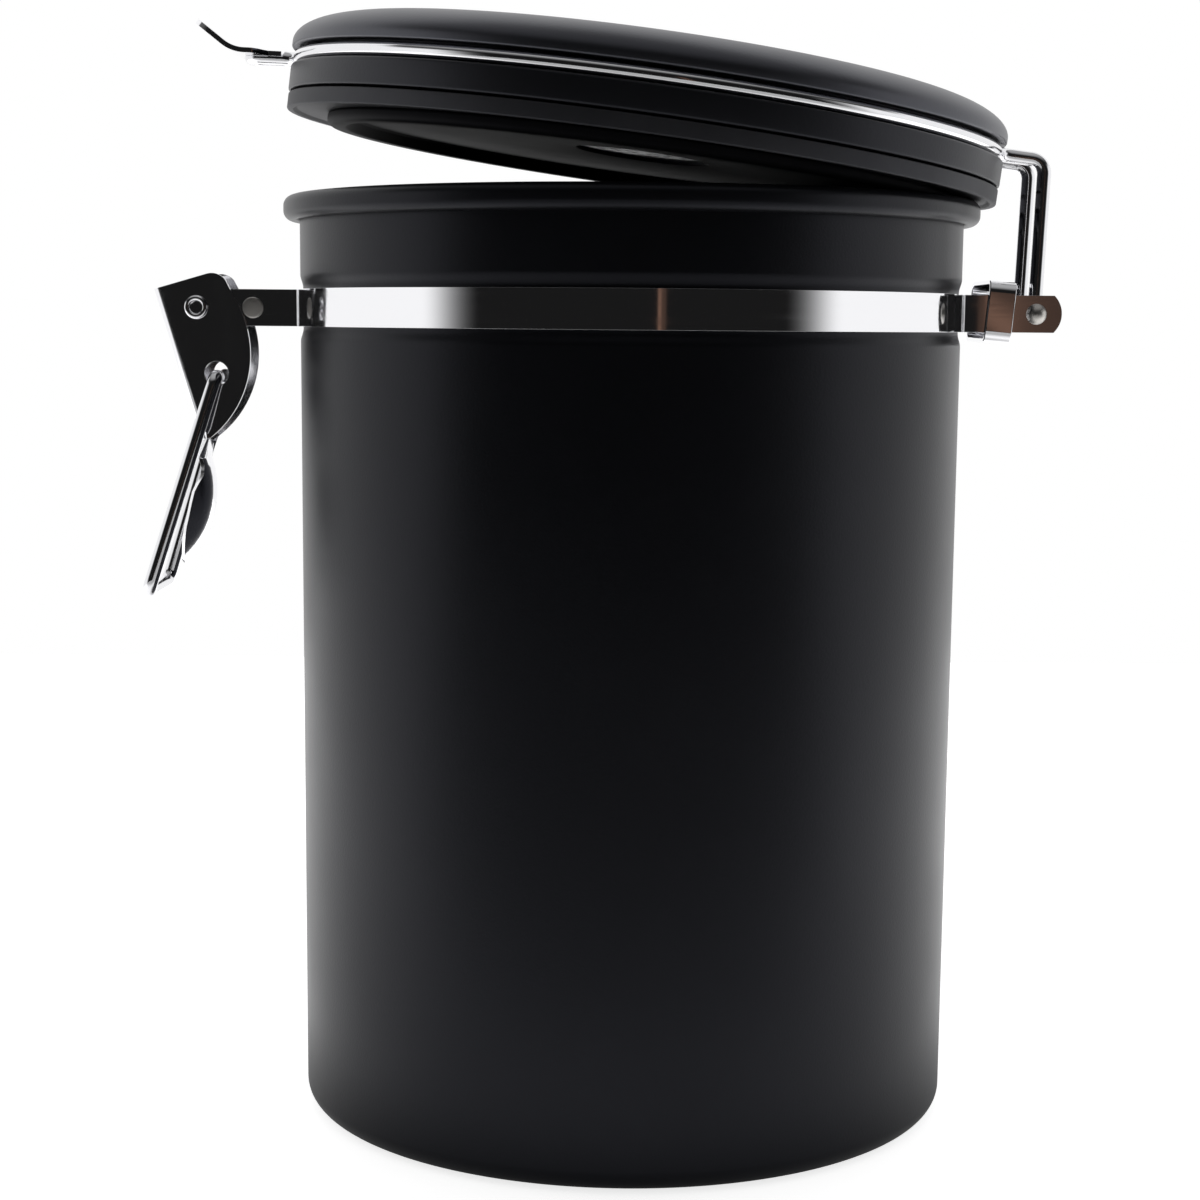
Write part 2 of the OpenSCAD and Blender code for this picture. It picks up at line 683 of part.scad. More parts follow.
module lid_wire() {
    d = lid_wire_d;
    eye_h = d - 0.3;
    back_a = asin((leg_y + turn_r) / (ring_r + turn_r));
    back_x = (ring_r + turn_r) * cos(back_a);
    eye = [hinge_x + lid_shift, -leg_y, hinge_z - lid_z];
    nose = [-cos(nose_dip), 0, -sin(nose_dip)] * nose_len;
    start = [nose_x, -nose_y, ring_z];
    dip = start - [nose_dip_x, 0, 0];
    lap = seam_lap / ring_r * 180 / PI;
    color([0.84, 0.84, 0.86]) lid_place() {
        for (s = [0, 1]) mirror([0, s, 0]) difference() {
            union() {
                wire_arc([0, 0, ring_z], ring_r, 180 + front_a - lap, 180 - front_a - back_a + 2 * lap,
                    d - 2 * bend_proud);
                wire_arc([nose_x, -nose_y - turn_r, ring_z], turn_r, front_a, 90 - front_a, d);
                wire_arc([back_x, -leg_y - turn_r, ring_z], turn_r, 90, 90 - back_a, d);
                bent_wire([start, dip, dip + nose], [4], d);
                bent_wire([[back_x, -leg_y, ring_z], [leg_top_x + lid_shift, -leg_y, ring_z], eye],
                    [corner_r], d);
                pin_y(eye[0], eye[2], hinge_pin_d + 3.2, -leg_y - eye_h / 2, -leg_y + eye_h / 2);
            }
            pin_y(eye[0], eye[2], hinge_pin_d + 2 * running_gap, -leg_y - d, -leg_y + d);
            nose_cut();
        }
        difference() {
            translate([nose_x - nose_dip_x, 0, ring_z] + nose) rotate([0, -nose_dip, 0])
                wire_arc([0, 0, 0], nose_y, 90, 180, d);
            nose_cut();
        }
    }
}

// Bent strip of the hook plate: along the nose, through the valley, up the lip
hook_steps = [[6.2, 0, 0], [0, 6.5, nose_dip + lip_rise], [6.3, 0, 0]];

module hook_plate() {
    rise = nose_flat + 0.02 + hook_t / 2;
    root_y = nose_y + lid_wire_d / 2 + fit_gap;
    line = strip_line(hook_steps, [0, 0], -nose_dip);
    far = line[len(line) - 1][0];
    outline = concat(
        [[0, -root_y], [2.6, -root_y]],
        arc_points([5, -hook_w / 2 + 2.4], 2.4, -150, -90, 4),
        arc_points([far - 4, -hook_w / 2 + 4], 4, -90, -20, 6),
        arc_points([far - 4, hook_w / 2 - 4], 4, 20, 90, 6),
        arc_points([5, hook_w / 2 - 2.4], 2.4, 90, 150, 4),
        [[2.6, root_y], [0, root_y]]);
    color([0.86, 0.86, 0.88]) lid_place()
        translate([nose_x - nose_dip_x, 0, ring_z]) rotate([0, -nose_dip, 0])
        translate([-0.05, 0, rise]) rotate([0, nose_dip, 0]) mirror([1, 0, 0]) intersection() {
            slab_y(-hook_w, hook_w) polygon(strip_outline(line, hook_t));
            translate([0, 0, -8]) linear_extrude(24) polygon(outline);
        }
}

// Valve

module valve_housing() {
    r = housing_d / 2;
    color([0.24, 0.24, 0.25]) lid_place() difference() {
        rotate_extrude() polygon([
            [0, seat_top], [0, seat_top - seat_t], [r - 4, seat_top - seat_t],
            [r - 1.6, seat_top - seat_t - 1.4], [r - 1.6, -0.8], [r, -0.8],
            [r, cap_pocket], [r - 1.6, cap_pocket], [r - 1.6, seat_top]]);
        translate([0, 0, -5]) cylinder(h = 20, d = stem_d + 2 * running_gap, $fn = 48);
        for (i = [0 : gas_holes - 1]) rotate([0, 0, i * 360 / gas_holes])
            translate([disc_d * 0.3, 0, -5]) cylinder(h = 20, d = gas_hole_d, $fn = 24);
    }
}

module valve_disc() {
    low = seat_top - seat_t - valve_lift - 0.15;
    color([0.75, 0.72, 0.68]) lid_place() rotate_extrude($fn = 64) polygon([
        [0, low - 2.2], [stem_d / 2 - 0.5, low - 2.2], [stem_d / 2 + 0.6, low - 0.5],
        [stem_d / 2 + 0.6, low], [stem_d / 2, low], [stem_d / 2, seat_top + 0.03],
        [disc_d / 2, seat_top + 0.03], [disc_d / 2, seat_top + 0.5],
        [disc_d / 2 - 2.5, seat_top + 1.3], [0, seat_top + 1.6]]);
}

module valve_cap() {
    r = vent_d / 2;
    top = cap_top + 0.2;
    color([0.16, 0.16, 0.17]) lid_place() difference() {
        rotate_extrude() polygon([
            [0, cap_pocket + 0.05], [r, cap_pocket + 0.05], [r, top - 0.7],
            [r - 0.7, top], [r - 6.6, top], [r - 7.4, top - 0.5], [0, top - 0.5]]);
        for (i = [0 : vent_slots - 1]) rotate([0, 0, i * 360 / vent_slots])
            translate([r - 5.2, 0, cap_pocket - 1]) rotate([0, 0, 90])
            linear_extrude(6) stadium(1.2, 2.9);
    }
}

module filter_disc() {
    r = filter_d / 2;
    color([0.72, 0.72, 0.73]) lid_place() difference() {
        translate([0, 0, -1.7]) cylinder(h = 0.8, r = r, $fn = 64);
        for (ring = [1 : 3], i = [0 : 6 * ring - 1]) rotate([0, 0, i * 60 / ring])
            translate([ring * 2.6, 0, -3]) cylinder(h = 4, d = 1.4, $fn = 16);
    }
}

can_body();
band_front();
band_rear();
hinge_sleeve();
hinge_rivet();
latch_rivet();
latch_spacer();
lever_eyelet();
latch_lever();
wire_loop();
lid_cap();
lid_base();
lid_plug();
lid_gasket();
lid_wire();
hook_plate();
valve_housing();
valve_disc();
valve_cap();
filter_disc();
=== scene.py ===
"""Looks for the coffee canister: finished surfaces, studio floor, light and camera."""

import math

import bmesh
import bpy
from mathutils import Matrix, Vector


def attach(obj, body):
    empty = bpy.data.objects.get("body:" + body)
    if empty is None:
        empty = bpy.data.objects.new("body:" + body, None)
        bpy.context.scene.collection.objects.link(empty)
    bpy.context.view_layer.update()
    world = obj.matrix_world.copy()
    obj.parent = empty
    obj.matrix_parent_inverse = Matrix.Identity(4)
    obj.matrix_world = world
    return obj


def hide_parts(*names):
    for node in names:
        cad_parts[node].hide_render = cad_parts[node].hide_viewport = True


bl_info = {
    "name": "Coffee canister with valve",
    "version": (1, 0, 0),
    "blender": (4, 5, 0),
    "location": "View3D > Sidebar > Canister",
    "description": "Builds a clamp-lid coffee canister with its studio",
    "category": "Add Mesh",
}

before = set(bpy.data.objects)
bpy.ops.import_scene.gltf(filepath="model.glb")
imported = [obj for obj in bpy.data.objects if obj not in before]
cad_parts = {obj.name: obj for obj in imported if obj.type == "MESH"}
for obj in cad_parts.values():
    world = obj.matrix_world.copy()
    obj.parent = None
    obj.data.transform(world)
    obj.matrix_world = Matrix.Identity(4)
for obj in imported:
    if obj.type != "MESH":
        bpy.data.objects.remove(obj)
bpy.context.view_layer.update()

TAU = 2 * math.pi
MM = 0.001
FIT = 0.05 * MM  # Gap round a piece that sits in another
BORE_GAP = 0.1 * MM  # Gap round the valve, the filter and the lid's core
EAR_GAP = 1.4 * MM  # Middle of a hinge leg to the inside of its ear
RING_DROP = 0.15 * MM  # How far the lid wire lies below the middle of its groove
NOSE_STEP = 0.6 * MM  # End of the lid wire's last groove bend to the root of its nose
EDGE = 0.3 * MM  # Small round on a moulded edge
QUARTER = math.pi / 2
SHARP_ANGLE = math.radians(38)
BEVEL_ANGLE = math.radians(32)
ROUND_STEPS = 220  # Steps round the can and the lid
SMALL_STEPS = 48  # Steps round a rivet or an eye
HOLE_STEPS = 40


def length(name, text, value, low=0.0001, high=1.0):
    """A size in metres that the sidebar shows with its unit."""
    return bpy.props.FloatProperty(
        name=name, description=text, default=value, min=low, max=high,
        precision=5, unit="LENGTH", subtype="DISTANCE",
    )


def turn_angle(name, text, degrees):
    """An angle that the sidebar shows in degrees."""
    return bpy.props.FloatProperty(
        name=name, description=text, default=math.radians(degrees),
        unit="ROTATION", subtype="ANGLE",
    )


def colour(name, text, value):
    """A linear colour swatch."""
    return bpy.props.FloatVectorProperty(
        name=name, description=text, default=value, size=3, min=0.0, max=1.0,
        subtype="COLOR",
    )


def share(name, text, value, high=1.0):
    """A plain factor."""
    return bpy.props.FloatProperty(
        name=name, description=text, default=value, min=0.0, max=high, subtype="FACTOR",
    )


class CanSizes(bpy.types.PropertyGroup):
    """Sizes of the can."""

    radius: length("Can radius", "Outside radius of the can wall", 0.060)
    height: length("Can height", "Base to top of the rolled rim", 0.167)
    wall: length("Wall", "Thickness of the steel wall", 0.0006)
    base_radius: length("Base edge", "Radius of the rounded edge at the base", 0.004)
    recess: length("Base groove depth", "Depth of the ring groove under the base", 0.0012)
    recess_width: length("Base groove width", "Width of the ring groove under the base", 0.007)
    foot: length("Foot", "Width of the flat foot outside the groove", 0.004)
    rim_reach: length("Rim reach", "How far the rolled rim stands out", 0.0029)
    rim_height: length("Rim height", "Height of the rolled rim", 0.0044)
    groove_depth: length("Band groove depth", "Depth of the groove under the band", 0.0005)
    groove_blend: length("Groove shoulder", "Length of the groove's shoulders", 0.0024)


class ClampSizes(bpy.types.PropertyGroup):
    """Sizes of the clamp band, its ears and its rivets."""

    band_height: length("Band height", "Height of the clamp band", 0.0066)
    band_thickness: length("Band thickness", "Sheet thickness of the band", 0.0008)
    band_drop: length("Band drop", "Top of the rim to the middle of the band", 0.0198)
    ear_bend: length("Ear bend", "Centreline radius of the bends into the ears", 0.0012)
    hinge_x: length("Hinge distance", "Can axis to the lid pivot", 0.0726)
    leg_y: length("Leg spacing", "Half the distance between the hinge legs", 0.0082)
    hinge_head: length("Hinge rivet head", "Diameter of the hinge rivet's head", 0.0037)
    latch_x: length("Latch distance", "Can axis to the lever pivot", 0.0786)
    latch_gap: length("Latch ear gap", "Half the gap between the latch ears", 0.0042)
    rivet_back: length("Rivet distance", "Lever pivot back to the solid rivet", 0.0101)
    latch_head: length("Latch rivet head", "Diameter of the solid rivet's head", 0.0038)
    sleeve_width: length("Sleeve width", "Width of the sleeve on the hinge ears", 0.0048)
    sleeve_height: length("Sleeve height", "Height of the sleeve on the hinge ears", 0.011)
    sleeve_lean: turn_angle("Sleeve lean", "Lean of the sleeve from upright", 5.0)


class LidSizes(bpy.types.PropertyGroup):
    """Sizes of the lid, its gasket, plug and wire."""

    radius: length("Lid radius", "Outside radius of the lid's lower rim", 0.0644)
    rim_height: length("Lower rim height", "Height of the lid's lower rim", 0.0046)
    groove_height: length("Wire groove height", "Height of the groove for the lid wire", 0.003)
    groove_depth: length("Wire groove depth", "Depth of the groove for the lid wire", 0.0028)
    shoulder_height: length("Shoulder height", "Height of the rounded shoulder", 0.0054)
    shoulder_width: length("Shoulder width", "Width of the rounded shoulder", 0.013)
    crown: length("Crown rise", "Rise of the crown inside the shoulder", 0.0006)
    wall: length("Lid wall", "Wall thickness of the moulded parts", 0.0022)
    shift: length("Lid shift", "Closed lid's shift towards the latch", 0.0011)
    squeeze: length("Squeezed gap", "Closed gap between lid rim and can", 0.0012)
    open_angle: turn_angle("Lid angle", "Angle that the lid stands open at rest", 7.2)
    gasket: length("Gasket height", "Height of the gasket's outer lip", 0.0022)
    lip_gap: length("Parting line", "Gap between the lower rim and the gasket", 0.00035)
    lip_drop: length("Lip drop", "How far the gasket's outer edge hangs down", 0.00055)
    plug_radius: length("Plug radius", "Outside radius of the plug", 0.0570)
    plug_height: length("Plug height", "How far the plug reaches down", 0.0048)
    wire: length("Lid wire", "Diameter of the lid wire", 0.0025)
    nose_y: length("Nose spacing", "Half the spacing of the wire's nose", 0.0022)
    nose_length: length("Nose length", "Length of the wire's nose", 0.0036)
    turn_radius: length("Groove bend", "Centreline radius of the bends out of the groove", 0.0031)
    corner_radius: length("Leg bend", "Centreline radius at the top of each leg", 0.0026)
    leg_lean: turn_angle("Leg lean", "Lean of the closed lid's legs", 5.2)
    nose_dip: turn_angle("Nose dip", "Dip of the wire's nose", 5.0)
    nose_flat: length("Nose flat", "Height of the pressed flat above the nose's axis", 0.00015)
    lip_rise: turn_angle("Lip rise", "Rise of the hook plate's lip", 31.0)
    hook_width: length("Hook width", "Width of the hook plate", 0.015)
    hook_thickness: length("Hook thickness", "Sheet thickness of the hook plate", 0.0009)


class LatchSizes(bpy.types.PropertyGroup):
    """Sizes of the latch lever and its wire loop."""

    sheet: length("Lever sheet", "Thickness of the lever's sheet metal", 0.0008)
    gap: length("Lever gap", "Clearance between the lever and the ears", 0.0002)
    tilt: turn_angle("Lever tilt", "Tilt of the lever's back from upright", 16.4)
    back: length("Lever back", "Pivot to the outside of the lever's back", 0.00655)
    top: length("Lever top", "Pivot to the top of the lever", 0.0052)
    arm: length("Loop arm", "Lever pivot to the loop's hole", 0.0124)
    hole: length("Loop hole", "Diameter of the loop's hole", 0.0044)
    tab_width: length("Tab width", "Width of the finger tab", 0.014)
    tab_length: length("Tab length", "Length of the finger tab", 0.020)
    tab_start: length("Tab start", "Lever pivot to the start of the tab", 0.027)
    wire: length("Loop wire", "Diameter of the loop wire", 0.0025)
    loop_length: length("Loop length", "Loop pivot to its cross wire", 0.0409)
    loop_half: length("Loop half width", "Half the width at the cross wire", 0.0105)
    loop_sag: length("Loop sag", "Hole centre down to the hanging wire", 0.0006)
    hang: turn_angle("Loop hang", "Angle of the hanging loop from straight down", 17.6)


class ValveSizes(bpy.types.PropertyGroup):
    """Sizes of the vent cap, the valve housing and the filter, which the lid is cut for."""

    vent_radius: length("Vent cap radius", "Radius of the slotted vent cap", 0.0135)
    housing_radius: length("Housing radius", "Radius of the valve housing", 0.011)
    filter_radius: length("Filter radius", "Radius of the filter disc", 0.012)


class FinishColours(bpy.types.PropertyGroup):
    """Colours and gloss of the finishes."""

    coating: colour("Coating", "Black coating on the can", (0.0035, 0.0038, 0.0048))
    lid: colour("Lid plastic", "Black plastic of the lid", (0.0070, 0.0073, 0.0085))
    rubber: colour("Rubber", "Rubber of the gasket", (0.016, 0.016, 0.017))
    plug: colour("Plug plastic", "Plastic of the plug and valve", (0.007, 0.007, 0.008))
    bright: colour("Bright steel", "Polished sheet steel", (0.91, 0.91, 0.93))
    wire: colour("Wire steel", "Polished wire", (0.82, 0.82, 0.84))
    rivet: colour("Rivet steel", "Rivet heads", (0.60, 0.58, 0.55))
    silicone: colour("Silicone", "Soft valve disc", (0.50, 0.49, 0.46))
    filter: colour("Filter steel", "Perforated filter disc", (0.60, 0.60, 0.61))
    coating_gloss: share("Coating roughness", "Roughness of the black coating", 0.34)
    lid_gloss: share("Lid roughness", "Roughness of the lid plastic", 0.39)


class StudioSettings(bpy.types.PropertyGroup):
    """Camera, floor and light."""

    camera_at: bpy.props.FloatVectorProperty(
        name="Camera place", description="Where the camera stands", size=3,
        default=(-0.0051, -0.4520, 0.1449), unit="LENGTH", subtype="TRANSLATION",
    )
    pitch: turn_angle("Camera pitch", "Downward tilt of the camera", 8.79)
    yaw: turn_angle("Camera yaw", "Turn of the camera", 0.02)
    roll: turn_angle("Camera roll", "Roll of the camera", 0.50)
    lens: bpy.props.FloatProperty(
        name="Lens", description="Focal length on a 36 mm sensor", default=73.05, unit="CAMERA"
    )
    shift: bpy.props.FloatProperty(
        name="Vertical shift", description="Lens shift as a share of the frame", default=0.0833
    )
    floor: colour("Floor", "Colour of the studio floor", (0.80, 0.80, 0.80))
    floor_glow: share("Floor glow", "Own brightness of the floor beside the object", 0.78)
    # Level of the painted shade that dims the floor's glow in front, where mirrors show it
    painted_front_shade: share(
        "Floor front", "Brightness of the floor in front that the object mirrors", 0.04
    )
    surround: share("Surround", "Brightness beside and behind the object", 1.0, 4.0)
    front: share("Front", "Brightness of the dark side round the camera", 0.010, 4.0)
    ceiling: share("Ceiling", "Brightness overhead", 0.38, 4.0)
    warm: colour("Warm glint", "Colour of the warm patch beside the camera", (0.19, 0.107, 0.075))


def sizes(context, *names):
    """The setting groups with these names."""
    return [getattr(context.scene, "canister_" + name) for name in names]


# ---------------------------------------------------------------- mesh helpers


def moved(matrix, bm):
    """Moves everything in a bmesh by a matrix."""
    bmesh.ops.transform(bm, matrix=matrix, verts=bm.verts)


def tidy(bm):
    """Merges doubles and points the faces outwards."""
    bmesh.ops.remove_doubles(bm, verts=bm.verts, dist=1e-7)
    bmesh.ops.recalc_face_normals(bm, faces=bm.faces)


def chain(bm, points, closed=True):
    """Vertices at the points, with an edge from each to the next one."""
    verts = [bm.verts.new(p) for p in points]
    after = verts[1:] + verts[:1] if closed else verts[1:]
    return verts, [bm.edges.new(pair) for pair in zip(verts, after)]


def verts_in(geometry):
    """The vertices among what a bmesh operator has made."""
    return [v for v in geometry if isinstance(v, bmesh.types.BMVert)]


def add_mirrored(bm, scale):
    """Adds a mirrored copy of everything so far."""
    copied = bmesh.ops.duplicate(bm, geom=list(bm.verts) + list(bm.edges) + list(bm.faces))
    bmesh.ops.scale(bm, vec=scale, verts=verts_in(copied["geom"]))


def mesh_from(name, bm):
    """Turns a bmesh into a mesh."""
    mesh = bpy.data.meshes.new(name)
    bm.to_mesh(mesh)
    bm.free()
    return mesh


def finish_piece(name, bm, look, body, node):
    """Turns a bmesh into a shown object in place of a CAD node."""
    for face in bm.faces:
        face.smooth = True
    mesh = mesh_from(name, bm)
    mesh.set_sharp_from_angle(angle=SHARP_ANGLE)
    mesh.materials.append(finish_of(look))
    piece = bpy.data.objects.new(name, mesh)
    bpy.context.scene.collection.objects.link(piece)
    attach(piece, body)
    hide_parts(node)
    return piece


def spin_piece(name, line, look, body, node, place=None):
    """Spins a closed line into a shown piece."""
    bm = lathe(line, ROUND_STEPS)
    if place:
        moved(place, bm)
    finish_piece(name, bm, look, body, node)


def soften_edges(piece, width, segments=2):
    """Rounds a piece's sharp edges with a live bevel."""
    bevel = piece.modifiers.new("Rounded edges", "BEVEL")
    bevel.width = width
    bevel.segments = segments
    bevel.limit_method = "ANGLE"
    bevel.angle_limit = BEVEL_ANGLE
    bevel.harden_normals = True


def thicken(piece, thickness):
    """Gives a sheet its thickness, half to each side."""
    wall = piece.modifiers.new("Sheet", "SOLIDIFY")
    wall.thickness = thickness
    wall.offset = 0.0
    wall.use_even_offset = True


def rounded(points, steps=5):
    """Corner points [x, y, radius] turned into a line with filleted corners."""
    line = []
    count = len(points)
    for i, (x, y, radius) in enumerate(points):
        if radius <= 0 or i in (0, count - 1):
            line.append((x, y))
            continue
        here = Vector((x, y))
        to_last = (Vector(points[i - 1][:2]) - here).normalized()
        to_next = (Vector(points[i + 1][:2]) - here).normalized()
        angle = to_last.angle(to_next)
        if angle > math.pi - 1e-3:
            line.append((x, y))
            continue
        back = radius / math.tan(angle / 2)
        centre = here + (to_last + to_next).normalized() * (radius / math.sin(angle / 2))
        first = here + to_last * back - centre
        last = here + to_next * back - centre
        sweep = first.angle_signed(last)
        for k in range(steps + 1):
            a = -sweep * k / steps
            line.append((
                centre.x + first.x * math.cos(a) - first.y * math.sin(a),
                centre.y + first.x * math.sin(a) + first.y * math.cos(a),
            ))
    return line


def arc(cx, cy, radius, start, end, steps):
    """Points on a circle, angles in degrees."""
    return [
        (cx + radius * math.cos(math.radians(start + (end - start) * k / steps)),
         cy + radius * math.sin(math.radians(start + (end - start) * k / steps)))
        for k in range(steps + 1)
    ]


def lathe(line, steps=SMALL_STEPS, closed=True):
    """Spins a line of (radius, height) points round Z."""
    bm = bmesh.new()
    verts, edges = chain(bm, [(max(r, 0.0), 0.0, z) for r, z in line], closed)
    bmesh.ops.spin(
        bm, geom=verts + edges, cent=(0, 0, 0), axis=(0, 0, 1), dvec=(0, 0, 0),
        angle=TAU, steps=steps, use_merge=True, use_duplicate=False,
    )
    bmesh.ops.dissolve_degenerate(bm, edges=bm.edges, dist=1e-7)
    tidy(bm)
    return bm


def plate(outline, holes=()):
    """A flat sheet in XY from an outline and round holes (x, y, radius)."""
    bm = bmesh.new()
    edges = []
    last = 360 - 360 / HOLE_STEPS
    for loop in [outline] + [arc(x, y, r, 0, last, HOLE_STEPS - 1) for x, y, r in holes]:
        edges += chain(bm, [(x, y, 0.0) for x, y in loop])[1]
    bmesh.ops.triangle_fill(bm, edges=edges, use_beauty=True, use_dissolve=False)
    bmesh.ops.recalc_face_normals(bm, faces=bm.faces)
    return bm


def sheet(line, flip):
    """A sheet between a line of points and the same line flipped."""
    bm = bmesh.new()
    edges = chain(bm, line, closed=False)[1]
    for v in verts_in(bmesh.ops.extrude_edge_only(bm, edges=edges)["geom"]):
        v.co = flip(v.co)
    bmesh.ops.recalc_face_normals(bm, faces=bm.faces)
    return bm


class Wire:
    """A round wire that is drawn by moving forward and turning."""

    def __init__(self, bm, at, heading, diameter, sides=24):
        self.bm = bm
        self.at = Vector(at)
        self.heading = Vector(heading).normalized()
        ring = bmesh.ops.create_circle(bm, cap_ends=True, radius=diameter / 2, segments=sides)
        aim = self.heading.to_track_quat("Z", "Y").to_matrix().to_4x4()
        bmesh.ops.transform(bm, matrix=Matrix.Translation(self.at) @ aim, verts=ring["verts"])
        self.ring = list(ring["verts"])

    def edges(self):
        inside = set(self.ring)
        found = {e for v in self.ring for e in v.link_edges if all(p in inside for p in e.verts)}
        return sorted(found, key=lambda e: tuple(sorted(p.index for p in e.verts)))

    def forward(self, distance):
        self.bm.verts.index_update()
        grown = bmesh.ops.extrude_edge_only(self.bm, edges=self.edges())
        self.ring = verts_in(grown["geom"])
        bmesh.ops.translate(self.bm, vec=self.heading * distance, verts=self.ring)
        self.at += self.heading * distance

    def turn(self, axis, radius, angle, steps):
        axis = Vector(axis).normalized()
        centre = self.at + axis.cross(self.heading) * radius
        self.bm.verts.index_update()
        swept = bmesh.ops.spin(
            self.bm, geom=self.ring + self.edges(), cent=centre, axis=axis,
            dvec=(0, 0, 0), angle=angle, steps=steps, use_merge=False, use_duplicate=False,
        )
        self.ring = verts_in(swept["geom_last"])
        spun = Matrix.Rotation(angle, 3, axis)
        self.at = centre + spun @ (self.at - centre)
        self.heading = spun @ self.heading

    def towards(self, corner, after, radius, steps=8):
        """Straight on to a corner, round it, and on along the next stretch."""
        corner, after = Vector(corner), Vector(after)
        u = (corner - self.at).normalized()
        v = (after - corner).normalized()
        angle = u.angle(v)
        back = radius * math.tan(angle / 2)
        self.heading = u
        self.forward((corner - self.at).length - back)
        self.turn(u.cross(v), radius, angle, steps)

    def end(self):
        self.bm.faces.new(self.ordered())

    def ordered(self):
        loop = [self.ring[0]]
        inside = set(self.ring)
        while len(loop) < len(self.ring):
            for e in loop[-1].link_edges:
                other = e.other_vert(loop[-1])
                if other in inside and other not in loop:
                    loop.append(other)
                    break
            else:
                break
        return loop


def along_y(bm):
    """Lays a shape drawn round Z so that its axis is along Y."""
    moved(Matrix.Rotation(-QUARTER, 4, "X"), bm)


# ---------------------------------------------------------------- placing


def lid_matrix(lid, clamp, can):
    """From the closed lid's own frame to its place at rest."""
    hinge = Vector((clamp.hinge_x, 0, can.height - clamp.band_drop))
    return (
        Matrix.Translation(hinge) @ Matrix.Rotation(lid.open_angle, 4, "Y")
        @ Matrix.Translation(-hinge)
        @ Matrix.Translation((-lid.shift, 0, can.height + lid.squeeze))
    )


def wire_ring(lid):
    """Radius and height of the lid wire's ring, in the closed lid's frame."""
    return (lid.radius - lid.groove_depth + FIT + lid.wire / 2,
            lid.rim_height + lid.groove_height / 2 - RING_DROP)


def nose_matrix(lid):
    """From the nose's own frame, its root at the origin, to the closed lid's frame."""
    ring_r, ring_z = wire_ring(lid)
    front = math.asin((lid.nose_y + lid.turn_radius) / (ring_r + lid.turn_radius))
    root_x = -(ring_r + lid.turn_radius) * math.cos(front) - NOSE_STEP
    return Matrix.Translation((root_x, 0, ring_z)) @ Matrix.Rotation(-lid.nose_dip, 4, "Y")


def lever_matrix(latch, clamp, can):
    """From the lever's own frame to its place."""
    at = Vector((-clamp.latch_x, 0, can.height - clamp.band_drop))
    return Matrix.Translation(at) @ Matrix.Rotation(-latch.tilt, 4, "Y")


# ---------------------------------------------------------------- finishes


def feed(tree, node, inputs):
    """Sets a node's inputs, each to a value or to another node's output."""
    for socket, value in inputs.items():
        if isinstance(value, bpy.types.NodeSocket):
            tree.links.new(value, node.inputs[socket])
        else:
            node.inputs[socket].default_value = value


def add(tree, kind, inputs=None, **settings):
    """A new shader node with its settings and inputs."""
    node = tree.nodes.new("ShaderNode" + kind)
    for name, value in settings.items():
        setattr(node, name, value)
    feed(tree, node, inputs or {})
    return node


def sums(tree, operation, a, b):
    """One sum on two values, each a socket or a number."""
    return add(tree, "Math", {0: a, 1: b}, operation=operation).outputs["Value"]


def product(tree, first, *others):
    """All the values multiplied."""
    for other in others:
        first = sums(tree, "MULTIPLY", first, other)
    return first


def ramp(tree, value, low, high, start, end):
    """A smooth step of a value from one level to another."""
    return add(tree, "MapRange", {
        "Value": value, "From Min": low, "From Max": high, "To Min": start, "To Max": end,
    }, interpolation_type="SMOOTHSTEP").outputs["Result"]


def shared_group(name, inputs, outputs, fill):
    """A node group with named sockets, filled when it is first asked for."""
    if name in bpy.data.node_groups:
        return bpy.data.node_groups[name]
    group = bpy.data.node_groups.new(name, "ShaderNodeTree")
    for way, sockets in (("INPUT", inputs), ("OUTPUT", outputs)):
        for socket, (kind, value) in sockets.items():
            made = group.interface.new_socket(
                name=socket, in_out=way, socket_type="NodeSocket" + kind
            )
            if value is not None:
                made.default_value = value
    given = group.nodes.new("NodeGroupInput").outputs
    feed(group, group.nodes.new("NodeGroupOutput"), fill(group, given))
    return group


def noise(tree, place, scale, detail, **more):
    """The value of a noise texture."""
    settings = {"Vector": place, "Scale": scale, "Detail": detail, **more}
    return add(tree, "TexNoise", settings).outputs["Fac"]


def spread(tree, value, low, high, start, end):
    """A straight step of a value from one level to another."""
    return add(tree, "MapRange", {
        "Value": value, "From Min": low, "From Max": high, "To Min": start, "To Max": end,
    }).outputs["Result"]


def fine_grain(group, given):
    place, rough, change = given["Vector"], given["Roughness"], given["Variation"]
    return {
        "Height": noise(group, place, given["Scale"], 2.0),
        "Roughness": spread(
            group, noise(group, place, given["Cloud scale"], 4.0), 0.3, 0.7,
            sums(group, "SUBTRACT", rough, change), sums(group, "ADD", rough, change),
        ),
    }


def grain_group():
    """Fine grain of a coating or moulding: a height and a roughness variation."""
    return shared_group(
        "Fine grain",
        {"Vector": ("Vector", None), "Scale": ("Float", 1500.0), "Cloud scale": ("Float", 24.0),
         "Roughness": ("Float", 0.45), "Variation": ("Float", 0.05)},
        {"Height": ("Float", None), "Roughness": ("Float", None)}, fine_grain,
    )


def light_dust(group, given):
    clouds = noise(group, given["Vector"], 38.0, 6.0, Roughness=0.62)
    amount = spread(group, clouds, 0.45, 0.75, 0.0, given["Amount"])
    mix = add(group, "Mix", {"Factor": amount, 6: given["Color"], 7: given["Dust"]},
              data_type="RGBA")
    return {"Color": mix.outputs[2]}


def dust_group():
    """Dust and faint handling marks that lift a colour a little."""
    return shared_group(
        "Light dust",
        {"Vector": ("Vector", None), "Color": ("Color", (0.01, 0.01, 0.01, 1)),
         "Dust": ("Color", (0.05, 0.05, 0.05, 1)), "Amount": ("Float", 0.1)},
        {"Color": ("Color", None)}, light_dust,
    )


